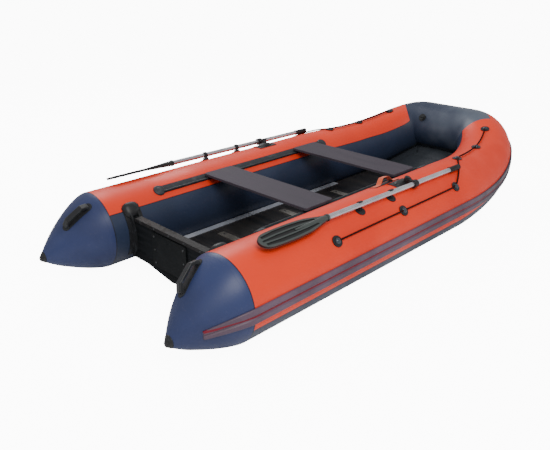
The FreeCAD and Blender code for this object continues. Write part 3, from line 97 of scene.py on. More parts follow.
for name, place, target, width, power, colour in (
        ("key_lamp", (-2.2, -3.4, 4.4), (0.1, 0.0, 0.2), 3.2, 215, (1.0, 0.97, 0.94)),
        ("fill_lamp", (-4.5, 1.2, 2.2), (-0.4, 0.0, 0.2), 2.4, 9, (0.86, 0.9, 1.0)),
        ("back_lamp", (1.0, 3.4, 3.6), (-0.1, -0.1, 0.3), 3.0, 120, (1.0, 1.0, 1.0))):
    light = bpy.data.lights.new(name, "AREA")
    light.shape = "DISK"
    light.size = width
    light.energy = power
    light.color = colour
    lamp = bpy.data.objects.new(name, light)
    lamp.location = place
    lamp.rotation_euler = (Vector(target) - Vector(place)).to_track_quat("-Z", "Y").to_euler()
    bpy.context.scene.collection.objects.link(lamp)

camera_data = bpy.data.cameras.new("photo_camera")
camera_data.lens = camera_lens
camera_data.sensor_width = camera_sensor
camera = bpy.data.objects.new("photo_camera", camera_data)
bpy.context.scene.collection.objects.link(camera)
yaw = math.radians(camera_yaw)
pitch = math.radians(camera_pitch)
ahead = Vector((math.cos(pitch) * math.cos(yaw), math.cos(pitch) * math.sin(yaw), -math.sin(pitch)))
level_right = Vector((math.sin(yaw), -math.cos(yaw), 0))
right = Matrix.Rotation(math.radians(camera_roll), 3, ahead) @ level_right
camera_turn = Matrix((right, right.cross(ahead), -ahead)).transposed()
camera.matrix_world = Matrix.Translation(camera_place) @ camera_turn.to_4x4()
bpy.context.scene.camera = camera


# Buoyancy tubes: PVC-coated polyester cloth, cut in panels, overlapped and glued. The tubes'
# outer and upper side is orange cloth and the inner and lower side is dark slate blue, with
# a welded edge between the two and a tape over the ring seams. On the side tubes that blue
# is the cones' navy cloth painted darker as painted shade, and on the bow it is painted
# lighter as painted light.
tube_radius = 0.21
tube_offset = 0.525
bend_start = 0.409
bend_pull = 0.245
bend_steps = 16
bow_front = 1.421
bow_half = 0.181
bow_pull = 0.32
bow_radius = 0.174
bow_climb = 0.168
rise_length = 0.895
rise_start = bow_front - rise_length
bend_poles = (Vector((bend_start, tube_offset)), Vector((bend_start + bend_pull, tube_offset)),
              Vector((bow_front, bow_half + bow_pull)), Vector((bow_front, bow_half)))
stern_seam = -1.285
outer_edge_angle = -20.5
outer_edge_climb = 13.0
inner_edge_angle = 142.5
inner_edge_climb = 11.0
inner_climb_start = 0.45
inner_climb_end = 0.8
bow_edge_angle = 74.0
least_curve_step = 0.004
edge_blend = 0.0008
edge_step = 0.0015
edge_line_half = 0.0012
edge_line_fade = 0.0028
ring_line_half = 0.002
ring_line_fade = 0.004
ring_tape_half = 0.026
ring_tape_fade = 0.028
cloth_threads = 2100.0
thread_share = 0.03
tape_share = 0.5
ripple_share = 0.9
ripple_scale = 9.0
dust_amount = 0.018
dust_colour = (0.35, 0.3, 0.27, 1)
orange = (0.80, 0.042, 0.008, 1)
orange_shade = (0.72, 0.033, 0.006, 1)
# Painted shade: the side tubes' inner and lower slate is the cones' navy cloth painted darker.
slate_painted_shade = (0.026, 0.038, 0.078, 1)
slate_shade = (0.018, 0.028, 0.058, 1)
# Painted light: the bow's inner slate is painted lighter than the side tubes', standing in for
# light thrown up from the floor.
bow_slate_painted_light = (0.088, 0.107, 0.142, 1)
seam_line = (0.012, 0.014, 0.022, 1)


def new_material(name, base, roughness, metallic=0.0, coat=0.0, coat_roughness=0.2, sheen=0.0,
                 gloss=0.3):
    """A material with its plain values on the shader's own sockets."""
    material = bpy.data.materials.new(name)
    material.use_nodes = True
    shader = material.node_tree.nodes["Principled BSDF"]
    shader.inputs["Base Color"].default_value = base
    shader.inputs["Roughness"].default_value = roughness
    shader.inputs["Metallic"].default_value = metallic
    shader.inputs["Coat Weight"].default_value = coat
    shader.inputs["Coat Roughness"].default_value = coat_roughness
    shader.inputs["Sheen Weight"].default_value = sheen
    shader.inputs["Specular IOR Level"].default_value = gloss
    return material, material.node_tree, shader


def math_node(tree, operation, *values):
    """One arithmetic node; each value is a number or another node's output."""
    made = tree.nodes.new("ShaderNodeMath")
    made.operation = operation
    for socket, given in zip(made.inputs, values):
        if isinstance(given, (int, float)):
            socket.default_value = given
        else:
            tree.links.new(given, socket)
    return made.outputs[0]


def mixed(tree, amount, first, second):
    """Two colours mixed by a mask; each is a constant or another node's output."""
    made = tree.nodes.new("ShaderNodeMix")
    made.data_type = "RGBA"
    tree.links.new(amount, made.inputs["Factor"])
    for socket, given in ((made.inputs["A"], first), (made.inputs["B"], second)):
        if isinstance(given, tuple):
            socket.default_value = given
        else:
            tree.links.new(given, socket)
    return made.outputs["Result"]


def ranged(tree, amount, low, high, from_low=0.0, from_high=1.0):
    """A value carried from one range to another, with soft ends."""
    made = tree.nodes.new("ShaderNodeMapRange")
    made.interpolation_type = "SMOOTHSTEP"
    tree.links.new(amount, made.inputs["Value"])
    for socket, given in (("From Min", from_low), ("From Max", from_high),
                          ("To Min", low), ("To Max", high)):
        made.inputs[socket].default_value = given
    return made.outputs["Result"]


def noise(tree, place, scale, detail, roughness=0.5, distortion=0.0):
    """A noise over the surface; its scale is a number or another node's output."""
    made = tree.nodes.new("ShaderNodeTexNoise")
    made.inputs["Detail"].default_value = detail
    made.inputs["Roughness"].default_value = roughness
    made.inputs["Distortion"].default_value = distortion
    tree.links.new(place, made.inputs["Vector"])
    if isinstance(scale, float):
        made.inputs["Scale"].default_value = scale
    else:
        tree.links.new(scale, made.inputs["Scale"])
    return made.outputs[0]


def place_of(tree):
    """The surface's own place on its piece, and that place's three parts."""
    source = tree.nodes.new("ShaderNodeTexCoord")
    parts = tree.nodes.new("ShaderNodeSeparateXYZ")
    tree.links.new(source.outputs["Object"], parts.inputs[0])
    return source.outputs["Object"], parts.outputs["X"], parts.outputs["Y"], parts.outputs["Z"]


def new_group(name, inputs, outputs):
    """An empty shader group, and the sockets that its values come in by and go out by."""
    group = bpy.data.node_groups.new(name, "ShaderNodeTree")
    kinds = {"number": "NodeSocketFloat", "vector": "NodeSocketVector"}
    for title, kind in inputs:
        group.interface.new_socket(title, in_out="INPUT", socket_type=kinds[kind])
    for title, kind in outputs:
        group.interface.new_socket(title, in_out="OUTPUT", socket_type=kinds[kind])
    entry, exit_node = group.nodes.new("NodeGroupInput"), group.nodes.new("NodeGroupOutput")
    return group, entry.outputs, exit_node.inputs


def placed(tree, group, **values):
    """A shader group put into a material with its own values; it gives the group's outputs."""
    made = tree.nodes.new("ShaderNodeGroup")
    made.node_tree = group
    for title, given in values.items():
        if isinstance(given, float):
            made.inputs[title].default_value = given
        else:
            tree.links.new(given, made.inputs[title])
    return made.outputs


def bumped(tree, shader, height, strength, distance):
    """A bump on the shader's normal from a height that changes over the surface."""
    bump = tree.nodes.new("ShaderNodeBump")
    bump.inputs["Strength"].default_value = strength
    bump.inputs["Distance"].default_value = distance
    tree.links.new(height, bump.inputs["Height"])
    tree.links.new(bump.outputs["Normal"], shader.inputs["Normal"])


# Cloudy: slow changes over a surface, for handling and uneven colour, and small flecks of dust.
fleck_fineness = 28.0
cloudy, cloudy_in, cloudy_out = new_group(
    "cloudy_surface", (("Place", "vector"), ("Scale", "number")),
    (("Cloud", "number"), ("Fleck", "number")))
slow = noise(cloudy, cloudy_in["Place"], cloudy_in["Scale"], detail=3.0, roughness=0.55)
fleck_scale = math_node(cloudy, "MULTIPLY", cloudy_in["Scale"], fleck_fineness)
fleck = noise(cloudy, cloudy_in["Place"], fleck_scale, detail=2.0)
cloudy.links.new(ranged(cloudy, slow, 0.0, 1.0, 0.32, 0.68), cloudy_out["Cloud"])
cloudy.links.new(ranged(cloudy, fleck, 0.0, 1.0, 0.58, 0.74), cloudy_out["Fleck"])

# Woven: the cloth's threads under its coating, along the tube and round it.
woven, woven_in, woven_out = new_group(
    "woven_cloth", (("Along", "number"), ("Across", "number"), ("Threads", "number")),
    (("Height", "number"),))
thread_waves = []
for way in ("Along", "Across"):
    turns = math_node(woven, "MULTIPLY", woven_in[way], woven_in["Threads"])
    thread_waves.append(math_node(woven, "SINE", turns))
weave = math_node(woven, "MULTIPLY", *thread_waves)
woven.links.new(math_node(woven, "MULTIPLY_ADD", weave, 0.5, 0.5), woven_out["Height"])


def bend_station(share):
    """Centre, direction, outward and up directions and radius of one section of the bow bend."""
    first, second, third, fourth = bend_poles
    back = 1 - share
    flat = (first * back ** 3 + second * (3 * share * back ** 2)
            + third * (3 * share ** 2 * back) + fourth * share ** 3)
    slope = ((second - first) * back ** 2 + (third - second) * (2 * share * back)
             + (fourth - third) * share ** 2)
    reach = max(flat.x - rise_start, 0) / rise_length
    centre = Vector((flat.x, flat.y, tube_radius + bow_climb * reach ** 3))
    climb = slope.x * 3 * bow_climb * reach ** 2 / rise_length
    direction = Vector((slope.x, slope.y, climb)).normalized()
    out = Vector((0, 0, 1)).cross(direction).normalized()
    radius = tube_radius + (bow_radius - tube_radius) * reach
    return centre, direction, out, direction.cross(out), radius


bend_centres = [bend_station(step / bend_steps)[0] for step in range(bend_steps + 1)]


def edge_curve(angle, stand=0.0, climb=0.0, climb_start=0.0, climb_end=0.5):
    """Places of the skin's line at one angle, as pairs of x and height, from the bend's start."""
    places = []
    for step in range(bend_steps + 1):
        centre, _, out, up, radius = bend_station(step / bend_steps)
        climbed = (step / bend_steps - climb_start) / (climb_end - climb_start)
        turn = math.radians(angle + climb * min(1.0, max(0.0, climbed)))
        place = centre + (out * math.cos(turn) + up * math.sin(turn)) * (radius + stand)
        places.append((place.x, place.z))
    return places


def curve_node(tree, source, places):
    """A curve through places in metres: it gives the second number where the first is met."""
    low, high = places[0][0], places[-1][0]
    share = math_node(tree, "DIVIDE", math_node(tree, "SUBTRACT", source, low), high - low)
    kept = [places[0]]
    for place in places[1:]:
        if place[0] > kept[-1][0] + least_curve_step:
            kept.append(place)
    made = tree.nodes.new("ShaderNodeFloatCurve")
    points = made.mapping.curves[0].points
    points[0].location = (0.0, places[0][1])
    for along, height in kept[1:-1]:
        points.new((along - low) / (high - low), height)
    points[-1].location = (1.0, places[-1][1])
    made.mapping.update()
    clamped = tree.nodes.new("ShaderNodeClamp")
    tree.links.new(share, clamped.inputs["Value"])
    tree.links.new(clamped.outputs[0], made.inputs["Value"])
    return made.outputs[0]


def tube_skin(name, dark, dark_shade, cone=False, bow=False):
    """The coated cloth of one tube, with its two colours divided along the tube."""
    material, tree, shader = new_material(name, orange, 0.5, coat=0.05, coat_roughness=0.3)
    place, x, y, z = place_of(tree)
    far = math_node(tree, "ABSOLUTE", y)
    clouds = placed(tree, cloudy, Place=place, Scale=2.6)
    ring_gap = math_node(tree, "ABSOLUTE", math_node(tree, "SUBTRACT", x, stern_seam))
    dark_cloth = mixed(tree, clouds["Cloud"], dark, dark_shade)
    if cone:
        paint = dark_cloth
        line = ranged(tree, ring_gap, 1.0, 0.0, ring_line_half, ring_line_fade)
        tape = ranged(tree, ring_gap, 1.0, 0.0, ring_tape_half, ring_tape_fade)
        middle_y, middle_z = tube_offset, tube_radius
    else:
        middle_y = curve_node(tree, x, [(centre.x, centre.y) for centre in bend_centres])
        middle_z = curve_node(tree, x, [(centre.x, centre.z) for centre in bend_centres])
        outer_height = curve_node(tree, x, edge_curve(outer_edge_angle, climb=outer_edge_climb))
        if bow:
            # A curve's heights stop at 1, so this one carries half of the bow's x.
            half_way = curve_node(tree, far, [(centre.y, centre.x / 2)
                                              for centre in reversed(bend_centres)])
            past_top = bow_radius * math.cos(math.radians(bow_edge_angle))
            bow_edge = math_node(tree, "MULTIPLY_ADD", half_way, 2.0, past_top)
            to_edge = math_node(tree, "MINIMUM", math_node(tree, "SUBTRACT", x, bow_edge),
                                math_node(tree, "SUBTRACT", z, outer_height))
        else:
            inner_height = curve_node(tree, x, edge_curve(
                inner_edge_angle, climb=inner_edge_climb, climb_start=inner_climb_start,
                climb_end=inner_climb_end))
            outward = math_node(tree, "GREATER_THAN", far, middle_y)
            gap = math_node(tree, "SUBTRACT", outer_height, inner_height)
            edge_height = math_node(tree, "MULTIPLY_ADD", gap, outward, inner_height)
            to_edge = math_node(tree, "SUBTRACT", z, edge_height)
        orange_cloth = mixed(tree, clouds["Cloud"], orange, orange_shade)
        over_edge = ranged(tree, to_edge, 0.0, 1.0, -edge_blend, edge_blend)
        paint = mixed(tree, over_edge, dark_cloth, orange_cloth)
        nearest = math_node(tree, "MINIMUM", math_node(tree, "ABSOLUTE", to_edge), ring_gap)
        line = ranged(tree, nearest, 1.0, 0.0, edge_line_half, edge_line_fade)
        tape = ranged(tree, to_edge, 0.0, 1.0, 0.0, edge_step)
    painted = mixed(tree, line, paint, seam_line)
    dusty = math_node(tree, "MULTIPLY", clouds["Fleck"], dust_amount)
    tree.links.new(mixed(tree, dusty, painted, dust_colour), shader.inputs["Base Color"])
    tree.links.new(ranged(tree, clouds["Cloud"], 0.4, 0.54), shader.inputs["Roughness"])
    turn = math_node(tree, "ARCTAN2", math_node(tree, "SUBTRACT", z, middle_z),
                     math_node(tree, "SUBTRACT", far, middle_y))
    around = math_node(tree, "MULTIPLY", turn, tube_radius)
    threads = placed(tree, woven, Along=x, Across=around, Threads=cloth_threads)
    ripple = math_node(tree, "MULTIPLY", noise(tree, place, ripple_scale, detail=2.0), ripple_share)
    taped = math_node(tree, "MULTIPLY_ADD", tape, tape_share, ripple)
    height = math_node(tree, "MULTIPLY_ADD", threads["Height"], thread_share, taped)
    bumped(tree, shader, height, strength=0.5, distance=0.0016)
    return material


def dress(material, *names):
    """Gives the kept CAD pieces their finish."""
    for name in names:
        piece = nodes[name]
        if not piece.data.materials:
            piece.data.materials.append(material)
        for slot in piece.material_slots:
            slot.material = material


def both(name):
    """The names of the port and the starboard piece."""
    return name + "_port", name + "_starboard"


dress(tube_skin("side_tube_cloth", slate_painted_shade, slate_shade), *both("side_tube"))
dress(tube_skin("bow_tube_cloth", bow_slate_painted_light, slate_shade, bow=True), "bow_tube")


# Bottom: the same coated cloth in black, stretched under the floor and over the inflated keel.
# Its lower side is scuffed from being dragged up a beach. A lap of it is glued up the tubes
# round the bow and closes the seam there.
bottom_black = (0.03, 0.036, 0.045, 1)
bottom_scuffed = (0.07, 0.078, 0.088, 1)
lap_angles = (221.0, 227.0, 233.0, 239.0)
lap_stand = 0.0018
lap_width = 0.075
lap_width_steps = 4
lap_start = 0.3
lap_steps = 26
lap_front_steps = 8
above_bow = 0.6

bottom_cloth, tree, shader = new_material("bottom_cloth", bottom_black, 0.5)
place, x, y, z = place_of(tree)
clouds = placed(tree, cloudy, Place=place, Scale=4.0)
threads = placed(tree, woven, Along=x, Across=y, Threads=cloth_threads)
scuffed = math_node(tree, "MULTIPLY", clouds["Cloud"], clouds["Fleck"])
tree.links.new(mixed(tree, scuffed, bottom_black, bottom_scuffed), shader.inputs["Base Color"])
tree.links.new(ranged(tree, clouds["Cloud"], 0.42, 0.6), shader.inputs["Roughness"])
bumped(tree, shader, threads["Height"], strength=0.35, distance=0.0004)
dress(bottom_cloth, "bottom_skin")


def join_rings(shape, rings, closed=True):
    """Faces between each row of vertices and the next; a closed row's end meets its start."""
    for ring, following in zip(rings, rings[1:]):
        for step in range(len(ring) if closed else len(ring) - 1):
            after = (step + 1) % len(ring)
            shape.faces.new((ring[step], ring[after], following[after], following[step]))


def add_piece(name, shape, material):
    """A piece of the hull made here, in its place, with the record's slot for its finish."""
    mesh = bpy.data.meshes.new(name)
    shape.to_mesh(mesh)
    shape.free()
    for polygon in mesh.polygons:
        polygon.use_smooth = True
    mesh.materials.append(material)
    piece = bpy.data.objects.new(name, mesh)
    bpy.context.scene.collection.objects.link(piece)
    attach(piece, "hull")
    return piece


bottom_mesh = nodes["bottom_skin"].data
bottom_shape = BVHTree.FromPolygons([vertex.co for vertex in bottom_mesh.vertices],
                                    [tuple(face.vertices) for face in bottom_mesh.polygons])
lap_stations = []
for step in range(lap_steps + 1):
    centre, _, out, up, radius = bend_station(lap_start + (1 - lap_start) * step / lap_steps)
    lap_stations.append((centre, out, up, radius))
for step in range(1, lap_front_steps):
    across = Vector((centre.x, centre.y * (1 - 2 * step / lap_front_steps), centre.z))
    lap_stations.append((across, out, up, radius))
flip = Matrix.Diagonal((1, -1, 1))
lap_stations += [(flip @ centre, flip @ out, flip @ up, radius)
                 for centre, out, up, radius in lap_stations[lap_steps::-1]]
lap_cloth = bmesh.new()
lap_rows = []
for centre, out, up, radius in lap_stations:
    places = []
    for angle in lap_angles:
        turn = math.radians(angle)
        away = out * math.cos(turn) + up * math.sin(turn)
        places.append(centre + away * (radius + lap_stand))
    foot = places[-1]
    inward = Vector((-out.x, -out.y, 0)).normalized()
    for step in range(1, lap_width_steps + 1):
        beside = foot + inward * (lap_width * step / lap_width_steps)
        high = Vector((beside.x, beside.y, above_bow))
        under = bottom_shape.ray_cast(high, Vector((0, 0, -1)))[0] or foot
        places.append(Vector((beside.x, beside.y, under.z + lap_stand)))
    lap_rows.append([lap_cloth.verts.new(place) for place in places])
join_rings(lap_cloth, lap_rows, closed=False)
add_piece("bow_seam_cloth", lap_cloth, bottom_cloth)


# Stern cones: each tube ends in a pointed cone of navy cloth, glued to the tube at a ring
# seam, and a small moulded rubber point covers its tip.
navy = (0.029, 0.043, 0.125, 1)
navy_shade = (0.021, 0.031, 0.092, 1)
rubber_black = (0.014, 0.015, 0.017, 1)
rubber_grey = (0.032, 0.036, 0.042, 1)
cone_start = -1.585
cone_length = 0.30
cone_steps = 40
cone_around = 72
cone_root_y, cone_root_z, cone_root_radius = 0.542, 0.143, 0.034
cone_fullness = 1.4
nose_full, nose_full_radius, nose_full_slope = 0.33, 0.1095, 0.21
nose_end, nose_end_radius, nose_end_slope = -0.04, 0.013, 0.30
nose_end_y, nose_end_z = 0.545, 0.137
point_start = 0.012
point_steps = 5
point_around = 48
point_stand = 0.0018
point_lip = 0.0012
point_lip_sink = point_stand * 1.2
point_dome = 0.0065
point_dome_steps = 6
point_dome_close = 6.3


def cone_station(share):
    """Centre and radius of one section of the cone, from its tip, 0, to its ring seam, 1."""
    swell = 1 - (1 - max(share, nose_full)) ** cone_fullness
    y = cone_root_y + (tube_offset - cone_root_y) * swell
    z = cone_root_z + (tube_radius - cone_root_z) * swell
    radius = cone_root_radius + (tube_radius - cone_root_radius) * swell
    if share < nose_full:
        span = nose_full - nose_end
        step = (share - nose_end) / span
        radius = ((2 * step ** 3 - 3 * step ** 2 + 1) * nose_end_radius
                  + (step ** 3 - 2 * step ** 2 + step) * span * nose_end_slope
                  + (3 * step ** 2 - 2 * step ** 3) * nose_full_radius
                  + (step ** 3 - step ** 2) * span * nose_full_slope)
        y += (nose_end_y - y) * (1 - step)
        z += (nose_end_z - z) * (1 - step)
    return Vector((cone_start + cone_length * share, y, z)), radius


def turned(stations, side, around):
    """A skin through round sections that stand across the tube, closed at its last one."""
    skin = bmesh.new()
    rings = []
    for centre, radius in stations:
        ring = []
        for step in range(around):
            turn = 2 * math.pi * step / around
            ring.append(skin.verts.new((centre.x, side * (centre.y + radius * math.cos(turn)),
                                        centre.z + radius * math.sin(turn))))
        rings.append(ring)
    join_rings(skin, rings)
    skin.faces.new(rings[-1])
    bmesh.ops.recalc_face_normals(skin, faces=skin.faces)
    return skin


cone_stations = [cone_station(1 - (1 - nose_end) * step / cone_steps)
                 for step in range(cone_steps + 1)]
point_stations = []
for step in range(point_steps + 1):
    centre, radius = cone_station(point_start - (point_start - nose_end) * step / point_steps)
    point_stations.append((centre, radius + point_stand))
rim_centre, rim_radius = point_stations[0]
tip_centre, tip_radius = point_stations[-1]
for step in range(1, point_dome_steps + 1):
    turn = math.pi / 2 * step / point_dome_close
    dome_centre = tip_centre - Vector((point_dome * math.sin(turn), 0, 0))
    point_stations.append((dome_centre, tip_radius * math.cos(turn)))
point_stations.insert(0, (rim_centre + Vector((point_lip, 0, 0)), rim_radius - point_lip_sink))

# Pressed: the fine pebbled grain of moulded rubber and plastic.
worn_scale = 0.04
pressed, pressed_in, pressed_out = new_group(
    "pressed_grain", (("Place", "vector"), ("Scale", "number")),
    (("Height", "number"), ("Worn", "number")))
pebbles = pressed.nodes.new("ShaderNodeTexVoronoi")
pebbles.feature = "SMOOTH_F1"
pressed.links.new(pressed_in["Place"], pebbles.inputs["Vector"])
pressed.links.new(pressed_in["Scale"], pebbles.inputs["Scale"])
rubbed_scale = math_node(pressed, "MULTIPLY", pressed_in["Scale"], worn_scale)
rubbed = noise(pressed, pressed_in["Place"], rubbed_scale, detail=5.0)
pressed.links.new(pebbles.outputs["Distance"], pressed_out["Height"])
pressed.links.new(ranged(pressed, rubbed, 0.0, 1.0, 0.5, 0.72), pressed_out["Worn"])


def moulded(name, dark, pale, roughness, scale, coat=0.0, gloss=0.3):
    """A pressed rubber or plastic finish, paler where it has been handled."""
    material, tree, shader = new_material(name, dark, roughness, coat=coat, gloss=gloss)
    grain = placed(tree, pressed, Place=place_of(tree)[0], Scale=scale)
    tree.links.new(mixed(tree, grain["Worn"], dark, pale), shader.inputs["Base Color"])
    tree.links.new(ranged(tree, grain["Worn"], roughness, roughness + 0.14),
                   shader.inputs["Roughness"])
    bumped(tree, shader, grain["Height"], strength=0.25, distance=0.0003)
    return material


cone_cloth = tube_skin("stern_cone_cloth", navy, navy_shade, cone=True)
black_rubber = moulded("black_rubber", rubber_black, rubber_grey, roughness=0.42, scale=900.0)
for ending, side in (("_port", 1), ("_starboard", -1)):
    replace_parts(add_piece("cone_skin" + ending, turned(cone_stations, side, cone_around),
                          cone_cloth), "stern_cone" + ending)
    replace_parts(add_piece("cone_point" + ending, turned(point_stations, side, point_around),
                          black_rubber), "cone_cap" + ending)


# Moulded black rubber: the cones' grab handles, and the holders that grip the transom, each
# under a domed crown. All are pressed parts with a fine matt grain, glued to the cloth.
crown_angle = 143.0
crown_x = -1.158
crown_half = (0.048, 0.044, 0.034)
crown_sink = 0.004
crown_fullness = 0.72

dress(black_rubber, *both("cone_handle"), *both("transom_holder"))


def tube_directions(angle, side):
    """Directions away from a straight tube's middle at an angle, and round the tube there."""
    turn = math.radians(angle)
    away = Vector((0, side * math.cos(turn), math.sin(turn)))
    return away, Vector((0, -away.z, away.y))


for ending, side in (("_port", 1), ("_starboard", -1)):
    away, round_tube = tube_directions(crown_angle, side)
    tube_middle = Vector((crown_x, side * tube_offset, tube_radius))
    middle = tube_middle + away * (tube_radius - crown_sink)
    crown = bmesh.new()
    bmesh.ops.create_uvsphere(crown, u_segments=40, v_segments=20, radius=1.0)
    for vertex in crown.verts:
        along, across, lift = (math.copysign(abs(part) ** crown_fullness, part) * half
                               for part, half in zip(vertex.co, crown_half))
        vertex.co = middle + Vector((along, 0, 0)) + round_tube * across + away * lift
    bmesh.ops.recalc_face_normals(crown, faces=crown.faces)
    add_piece("holder_crown" + ending, crown, black_rubber)


# Rub strake: an extruded grey-lilac rubber band of two ribs, glued along the widest line of
# the hull, with a dark red line moulded in the groove between the ribs.
strake_lilac = (0.118, 0.074, 0.112, 1)
strake_dark = (0.083, 0.055, 0.08, 1)
strake_bow = (0.04, 0.038, 0.058, 1)
groove_red = (0.16, 0.006, 0.02, 1)
strake_angle = 1.0
strake_stand = 0.008
strake_drop = 0.034
strake_drop_length = 0.32
bow_fade_start = 0.2
bow_fade_end = 1.2
groove_half = 0.0042
groove_fade = 0.0058

strake_rubber, tree, shader = new_material("strake_rubber", strake_lilac, 0.5)
place, x, y, z = place_of(tree)
clouds = placed(tree, cloudy, Place=place, Scale=5.0)
middle_line = curve_node(tree, x, edge_curve(strake_angle, stand=strake_stand))
cone_drop = ranged(tree, x, strake_drop, 0.0, stern_seam - strake_drop_length, stern_seam)
over_middle = math_node(tree, "SUBTRACT", z, middle_line)
off_middle = math_node(tree, "ABSOLUTE", math_node(tree, "ADD", over_middle, cone_drop))
toward_bow = ranged(tree, x, 0.0, 1.0, bow_fade_start, bow_fade_end)
stern_ribs = mixed(tree, clouds["Cloud"], strake_lilac, strake_dark)
ribs = mixed(tree, toward_bow, stern_ribs, strake_bow)
in_groove = ranged(tree, off_middle, 1.0, 0.0, groove_half, groove_fade)
tree.links.new(mixed(tree, in_groove, ribs, groove_red), shader.inputs["Base Color"])
tree.links.new(ranged(tree, clouds["Cloud"], 0.36, 0.5), shader.inputs["Roughness"])
grain = placed(tree, pressed, Place=place, Scale=700.0)
bumped(tree, shader, grain["Height"], strength=0.18, distance=0.0003)
dress(strake_rubber, *both("rub_strake"), "rub_strake_bow")


# Transom: marine plywood painted near black on both faces, with a dark plastic edging pushed
# over its top edge and a moulded pad where an outboard motor clamps on.
board_black = (0.006, 0.007, 0.008, 1)
board_grey = (0.013, 0.014, 0.016, 1)
edging_grey = (0.022, 0.02, 0.02, 1)
edging_dark = (0.012, 0.011, 0.012, 1)
pad_black = (0.006, 0.007, 0.008, 1)
pad_grey = (0.013, 0.014, 0.015, 1)

# Grained: long plywood grain that shows through its paint or lacquer.
grain_stretch = (9.0, 0.7, 9.0)
pore_fineness = 9.0
grained, grained_in, grained_out = new_group(
    "plywood_grain", (("Place", "vector"), ("Scale", "number")),
    (("Grain", "number"), ("Pores", "number")))
stretch = grained.nodes.new("ShaderNodeMapping")
stretch.inputs["Scale"].default_value = grain_stretch
grained.links.new(grained_in["Place"], stretch.inputs["Vector"])
stretched = stretch.outputs[0]
long_grain = noise(grained, stretched, grained_in["Scale"], detail=6.0, distortion=0.6)
pore_scale = math_node(grained, "MULTIPLY", grained_in["Scale"], pore_fineness)
pores = noise(grained, stretched, pore_scale, detail=2.0)
grained.links.new(ranged(grained, long_grain, 0.0, 1.0, 0.35, 0.65), grained_out["Grain"])
grained.links.new(ranged(grained, pores, 0.0, 1.0, 0.55, 0.7), grained_out["Pores"])


def painted_plywood(name, dark, pale, roughness, scale, coat=0.0, gloss=0.3):
    """Plywood under thin paint, with its grain faintly raised."""
    material, tree, shader = new_material(name, dark, roughness, coat=coat, gloss=gloss)
    grain = placed(tree, grained, Place=place_of(tree)[0], Scale=scale)
    tree.links.new(mixed(tree, grain["Grain"], dark, pale), shader.inputs["Base Color"])
    tree.links.new(ranged(tree, grain["Grain"], roughness, roughness + 0.12),
                   shader.inputs["Roughness"])
    bumped(tree, shader, grain["Pores"], strength=0.22, distance=0.0003)
    return material


dress(painted_plywood("transom_paint", board_black, board_grey, roughness=0.6, scale=6.0,
                      gloss=0.05), "transom_board")
dress(moulded("edging_plastic", edging_dark, edging_grey, roughness=0.55, scale=600.0,
              gloss=0.15), "transom_edging")
dress(moulded("motor_pad_plastic", pad_black, pad_grey, roughness=0.55, scale=500.0,
              gloss=0.08), "motor_plate")


# Screws: blackened pan heads with a slot, six round the motor pad, five along the transom
# edging and four through every floor joiner.
screw_radius = 0.006
screw_height = 0.0026
screw_slot = 0.0011
slot_reach = 0.95
screw_around = 20
screw_profile = ((0.35, 0.98), (0.62, 0.86), (0.86, 0.58), (0.97, 0.28), (1.0, 0.0))
screw_steel = (0.075, 0.078, 0.085, 1)
screw_shade = (0.035, 0.037, 0.04, 1)
pad_inset = 0.022
edging_shares = (0.08, 0.29, 0.5, 0.71, 0.92)
joiners_along = (-0.647, -0.138, 0.369)
joiners_across = (-0.21, -0.07, 0.07, 0.21)

blackened, tree, shader = new_material("blackened_screws", screw_steel, 0.4, metallic=0.6)
clouds = placed(tree, cloudy, Place=place_of(tree)[0], Scale=90.0)
tree.links.new(mixed(tree, clouds["Cloud"], screw_steel, screw_shade), shader.inputs["Base Color"])
tree.links.new(ranged(tree, clouds["Cloud"], 0.2, 0.4), shader.inputs["Roughness"])

screws = bmesh.new()


def add_screw(place, away):
    """One pan head, turned from its profile, with a slot across it."""
    facing = away.to_track_quat("Z", "Y").to_matrix().to_4x4()
    rings = []
    for share, lift in screw_profile:
        ring = []
        for step in range(screw_around):
            turn = 2 * math.pi * step / screw_around
            across = math.cos(turn) * share * screw_radius
            along = math.sin(turn) * share * screw_radius
            sink = screw_slot if abs(across) < screw_slot and share < slot_reach else 0.0
            local = Vector((across, along, lift * screw_height - sink))
            ring.append(screws.verts.new(place + facing @ local))
        rings.append(ring)
    top = screws.verts.new(place + facing @ Vector((0, 0, screw_height - screw_slot)))
    for step in range(screw_around):
        screws.faces.new((top, rings[0][step], rings[0][(step + 1) % screw_around]))
    join_rings(screws, rings[::-1])


aft = Vector((-1, 0, 0))
pad_low, pad_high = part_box("motor_plate")
for across in (pad_low[1] + pad_inset, pad_high[1] - pad_inset):
    for height in (pad_low[2] + pad_inset, (pad_low[2] + pad_high[2]) / 2, pad_high[2] - pad_inset):
        add_screw(Vector((pad_low[0], across, height)), aft)
edging_low, edging_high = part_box("transom_edging")
for share in edging_shares:
    across = edging_low[1] + (edging_high[1] - edging_low[1]) * share
    add_screw(Vector((edging_low[0], across, (edging_low[2] + edging_high[2]) / 2)), aft)
joiner_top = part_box("floor_joiners")[1][2]
for along in joiners_along:
    for across in joiners_across:
        add_screw(Vector((along, across, joiner_top)), Vector((0, 0, 1)))
add_piece("hull_screws", screws, blackened)


# Floor: black-stained plywood panels joined by aluminium bars of I section, and held flat by
# aluminium stringers of U section along both sides.
floor_black = (0.016, 0.0165, 0.018, 1)
floor_brown = (0.034, 0.031, 0.03, 1)
bar_beige = (0.42, 0.4, 0.36, 1)
bar_dull = (0.26, 0.25, 0.235, 1)
stringer_blue = (0.62, 0.66, 0.74, 1)
stringer_dull = (0.42, 0.46, 0.54, 1)
drawn_along_x = (0.4, 60.0, 60.0)
drawn_along_y = (60.0, 0.4, 60.0)

dress(painted_plywood("floor_lacquer", floor_black, floor_brown, roughness=0.3, scale=4.0,
                      coat=0.25),
      "floor_panel_1", "floor_panel_2", "floor_panel_3", "floor_panel_4")


